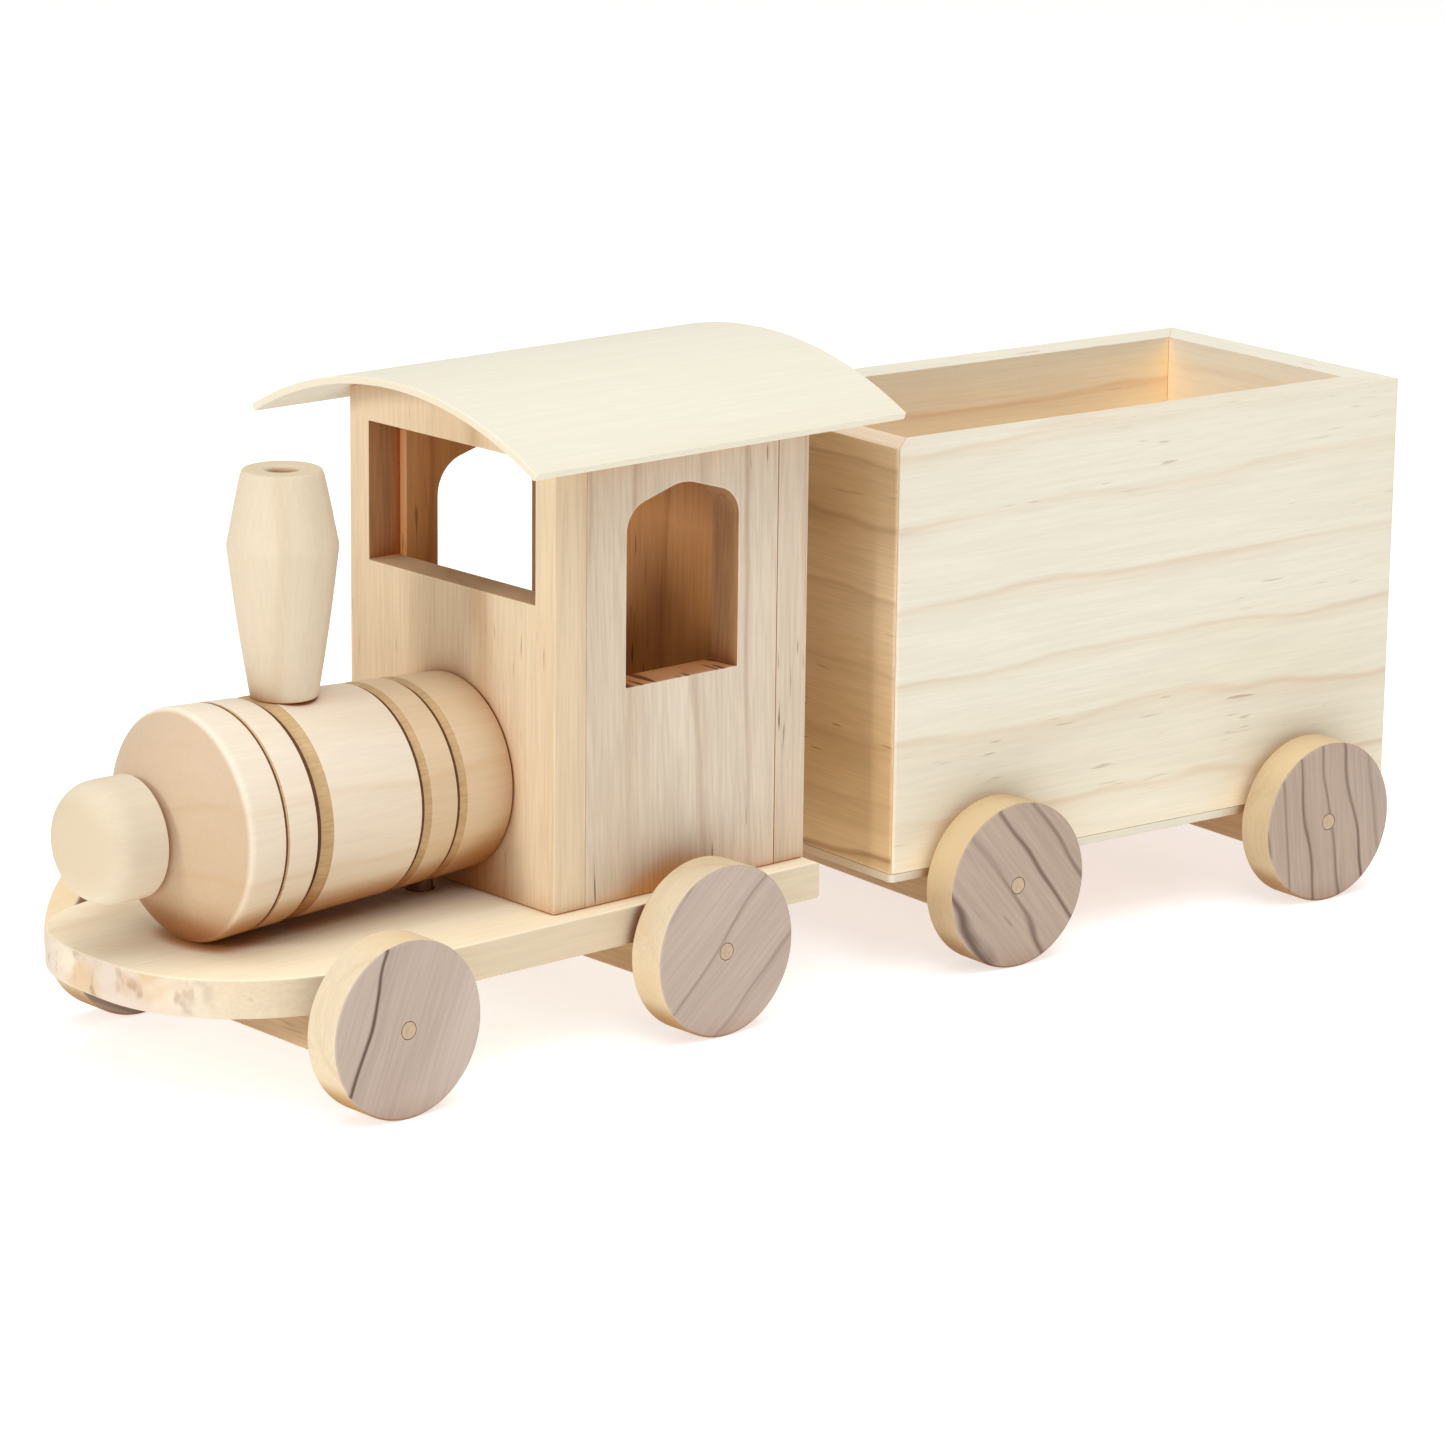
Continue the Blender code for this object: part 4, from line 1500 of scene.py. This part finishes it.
@dataclass
class Coupling:
    """The wire hook on the car and the wire eye on the locomotive.

    Attributes:
        car: The car's axes, whose origin is the pin.
        engine: The locomotive's axes.
        bend: Radius of the hook's bend.
        shank: Length of the hook's straight part.
        neck: Distances from the eye's ring to the last two points of its straight part.
        open_turn: How far round the eye's wire goes, in degrees.
    """

    car: Bench
    engine: Bench
    bend: float = 2.2 * MM
    shank: float = 6 * MM
    neck: Pair = (5 * MM, 1.2 * MM)
    open_turn: float = 336.0

    def build(self) -> None:
        """Build both wires."""
        metal = Wire().material("finish_wire")
        low, high = self.car.bounds("car_coupling_hook")
        radius = (high.y - low.y) / 2
        level = high.z - radius
        path = [Vector((high.x, 0.0, level)), Vector((high.x - self.shank, 0.0, level))]
        for step in range(13):
            angle = math.radians(90 * step / 12)
            x = self.bend * (1 - math.sin(angle))
            path.append(Vector((x, 0.0, level - self.bend * (1 - math.cos(angle)))))
        path.append(Vector((0.0, 0.0, low.z)))
        work = tube(path, radius)
        soften(work, WIRE_EASE, 2, 60)
        self.car.put(work, "coupling_hook_wire", ["car_coupling_hook"], "steel_wire", [metal])

        low, high = self.engine.bounds("loco_coupling_eye")
        wire = (high.z - low.z) / 2
        level = (high.z + low.z) / 2
        ring = high.x - wire
        path = [Vector((low.x, 0.0, level))]
        path += [Vector((-ring - before, 0.0, level)) for before in self.neck]
        for step in range(61):
            angle = math.radians(180 - self.open_turn * step / 60)
            path.append(Vector((ring * math.cos(angle), ring * math.sin(angle), level)))
        work = tube(path, wire)
        soften(work, WIRE_EASE, 2, 60)
        self.engine.put(work, "coupling_eye_wire", ["loco_coupling_eye"], "steel_wire", [metal])


@dataclass
class Studio:
    """The pale floor, the soft lights and the camera.

    Attributes:
        azimuth: Where the camera stands, in degrees from -Y towards +X.
        elevation: Its height above the horizon in degrees.
        roll: Its turn about its own line of sight in degrees.
        distance: From the aim point to the camera.
        aim: The aim point.
        lens: Focal length for a sensor 36 mm wide.
        shift: The lens's shift in picture widths.
        floor_radius: The floor's radius.
        floor_colour: The floor's colour.
        floor_glow: Strength of the lit sheet's own light.
        sky: Strength of the even light from all round.
        boxes: Name, place, width and power of each soft box.
    """

    azimuth: float = -36.88
    elevation: float = 14.25
    roll: float = 0.67
    distance: float = 1.25
    aim: Triple = (-0.0046, -0.008, 0.0638)
    lens: float = 134.1
    shift: Pair = (-0.0024, -0.0129)
    floor_radius: float = 9.0
    floor_colour: Colour = (216, 215, 214)
    floor_glow: float = 0.6
    sky: float = 0.46
    boxes: tuple[tuple[str, Triple, float, float], ...] = (
        ("overhead_box", (0.0, -0.2, 1.5), 1.4, 13.5),
        ("key_box", (-0.7, -1.2, 1.5), 0.9, 5.5),
        ("front_box", (-1.8, -0.2, 0.7), 0.3, 10.5),
    )

    def build(self) -> None:
        """Build the studio."""
        self.build_floor()
        self.build_light()
        self.build_camera()

    def build_floor(self) -> None:
        """Lay a wide round floor under the wheels."""
        work = bmesh.new()
        bmesh.ops.create_circle(work, cap_ends=True, segments=96, radius=self.floor_radius)
        mesh = bpy.data.meshes.new("studio_floor")
        work.to_mesh(mesh)
        work.free()
        made, wiring, shader = new_material("studio_floor")
        for name, value in (
            ("Base Color", linear(self.floor_colour)), ("Roughness", 0.9),
            ("Specular IOR Level", 0.1), ("Emission Color", WHITE),
            ("Emission Strength", self.floor_glow),
        ):
            wiring.feed(shader, name, value)
        mesh.materials.append(made)
        floor = bpy.data.objects.new("studio_floor", mesh)
        bpy.context.scene.collection.objects.link(floor)
        floor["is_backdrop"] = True

    def build_light(self) -> None:
        """Hang the soft boxes and light the room evenly."""
        scene = bpy.context.scene
        scene.view_settings.view_transform = "Standard"
        scene.view_settings.look = "None"
        world = bpy.data.worlds.new("studio")
        world.use_nodes = True
        background = world.node_tree.nodes["Background"]
        background.inputs["Color"].default_value = WHITE
        background.inputs["Strength"].default_value = self.sky
        scene.world = world
        for name, place, size, power in self.boxes:
            light = bpy.data.lights.new(name, "AREA")
            light.shape = "SQUARE"
            light.size = size
            light.energy = power
            lamp = bpy.data.objects.new(name, light)
            scene.collection.objects.link(lamp)
            lamp.location = place
            lamp.rotation_mode = "QUATERNION"
            lamp.rotation_quaternion = (-Vector(place)).to_track_quat("-Z", "Y")

    def build_camera(self) -> None:
        """Stand the camera on its azimuth and elevation and aim it."""
        around = math.radians(self.azimuth)
        up = math.radians(self.elevation)
        back = Vector(
            (math.sin(around) * math.cos(up), -math.cos(around) * math.cos(up), math.sin(up))
        )
        lens = bpy.data.cameras.new("camera")
        lens.sensor_width = 36.0
        lens.lens = self.lens
        lens.shift_x, lens.shift_y = self.shift
        lens.clip_end = 100.0
        camera = bpy.data.objects.new("camera", lens)
        bpy.context.scene.collection.objects.link(camera)
        camera.location = Vector(self.aim) + back * self.distance
        level = (-back).to_track_quat("-Z", "Y").to_matrix()
        turn = Matrix.Rotation(math.radians(self.roll), 3, "Z")
        camera.rotation_euler = (level @ turn).to_euler()
        bpy.context.scene.camera = camera


def joint_of(frame: dict, name: str) -> dict:
    """Find a joint's entry in the record by its name."""
    return next(joint for joint in frame["joints"] if joint["name"] == name)


def measure() -> tuple[Vector, Vector]:
    """Measure what is shown, corner by corner.

    Returns:
        The lowest and highest corners of the box round every shown piece.
    """
    graph = bpy.context.evaluated_depsgraph_get()
    points = []
    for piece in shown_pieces():
        ready = piece.evaluated_get(graph)
        points += [ready.matrix_world @ vert.co for vert in ready.data.vertices]
    low = Vector([min(point[i] for point in points) for i in range(3)])
    high = Vector([max(point[i] for point in points) for i in range(3)])
    return low, high


def write_size() -> None:
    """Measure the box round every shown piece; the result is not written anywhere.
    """
    finished = measure()


def main() -> None:
    """Build the train's looks and the studio."""
    logging.basicConfig(level=logging.INFO, format="%(name)s: %(message)s")
    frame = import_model()
    packed = measure()
    pin = Vector(joint_of(frame, "coupling_swivel")["pos_m"])
    pin.z = 0.0
    lean = joint_of(frame, "loco_front_wheels_spin")["axis"]
    turn = Matrix.Rotation(math.atan2(-lean[0], lean[1]), 4, "Z")
    car = Bench("box_car", Matrix.Translation(pin))
    engine = Bench("locomotive", Matrix.Translation(pin) @ turn)

    BoxCar(car).build()
    Engine(engine).build()
    Cab(engine).build()
    Coupling(car, engine).build()
    brown = (178, 157, 140)
    discs = {
        "car_front": (Disc(-50, 0.035, 6.5 * MM, early=brown), Disc(20, 0.05, 9 * MM)),
        "car_rear": (Disc(97, 0.06, 5.6 * MM, early=brown), Disc(65, 0.04, 8 * MM)),
        "loco_front": (Disc(68, 0.05, 24 * MM, broad=0.12), Disc(-20, 0.06, 12 * MM)),
        "loco_rear": (Disc(40, 0.06, 13 * MM, rings=0.5, broad=0.3), Disc(50, 0.05, 10 * MM)),
    }
    for prefix, pair in discs.items():
        spin = joint_of(frame, f"{prefix}_wheels_spin")
        on_car = prefix.startswith("car")
        place = Matrix.Translation(Vector(spin["pos_m"])) @ (Matrix.Identity(4) if on_car else turn)
        rim = DARKER_RIM if on_car else WHEEL_RIM
        Wheelset(Bench(f"{prefix}_wheelset", place), prefix, pair, rim).build()
    Studio().build()
    write_size()


if __name__ == "__main__":
    main()
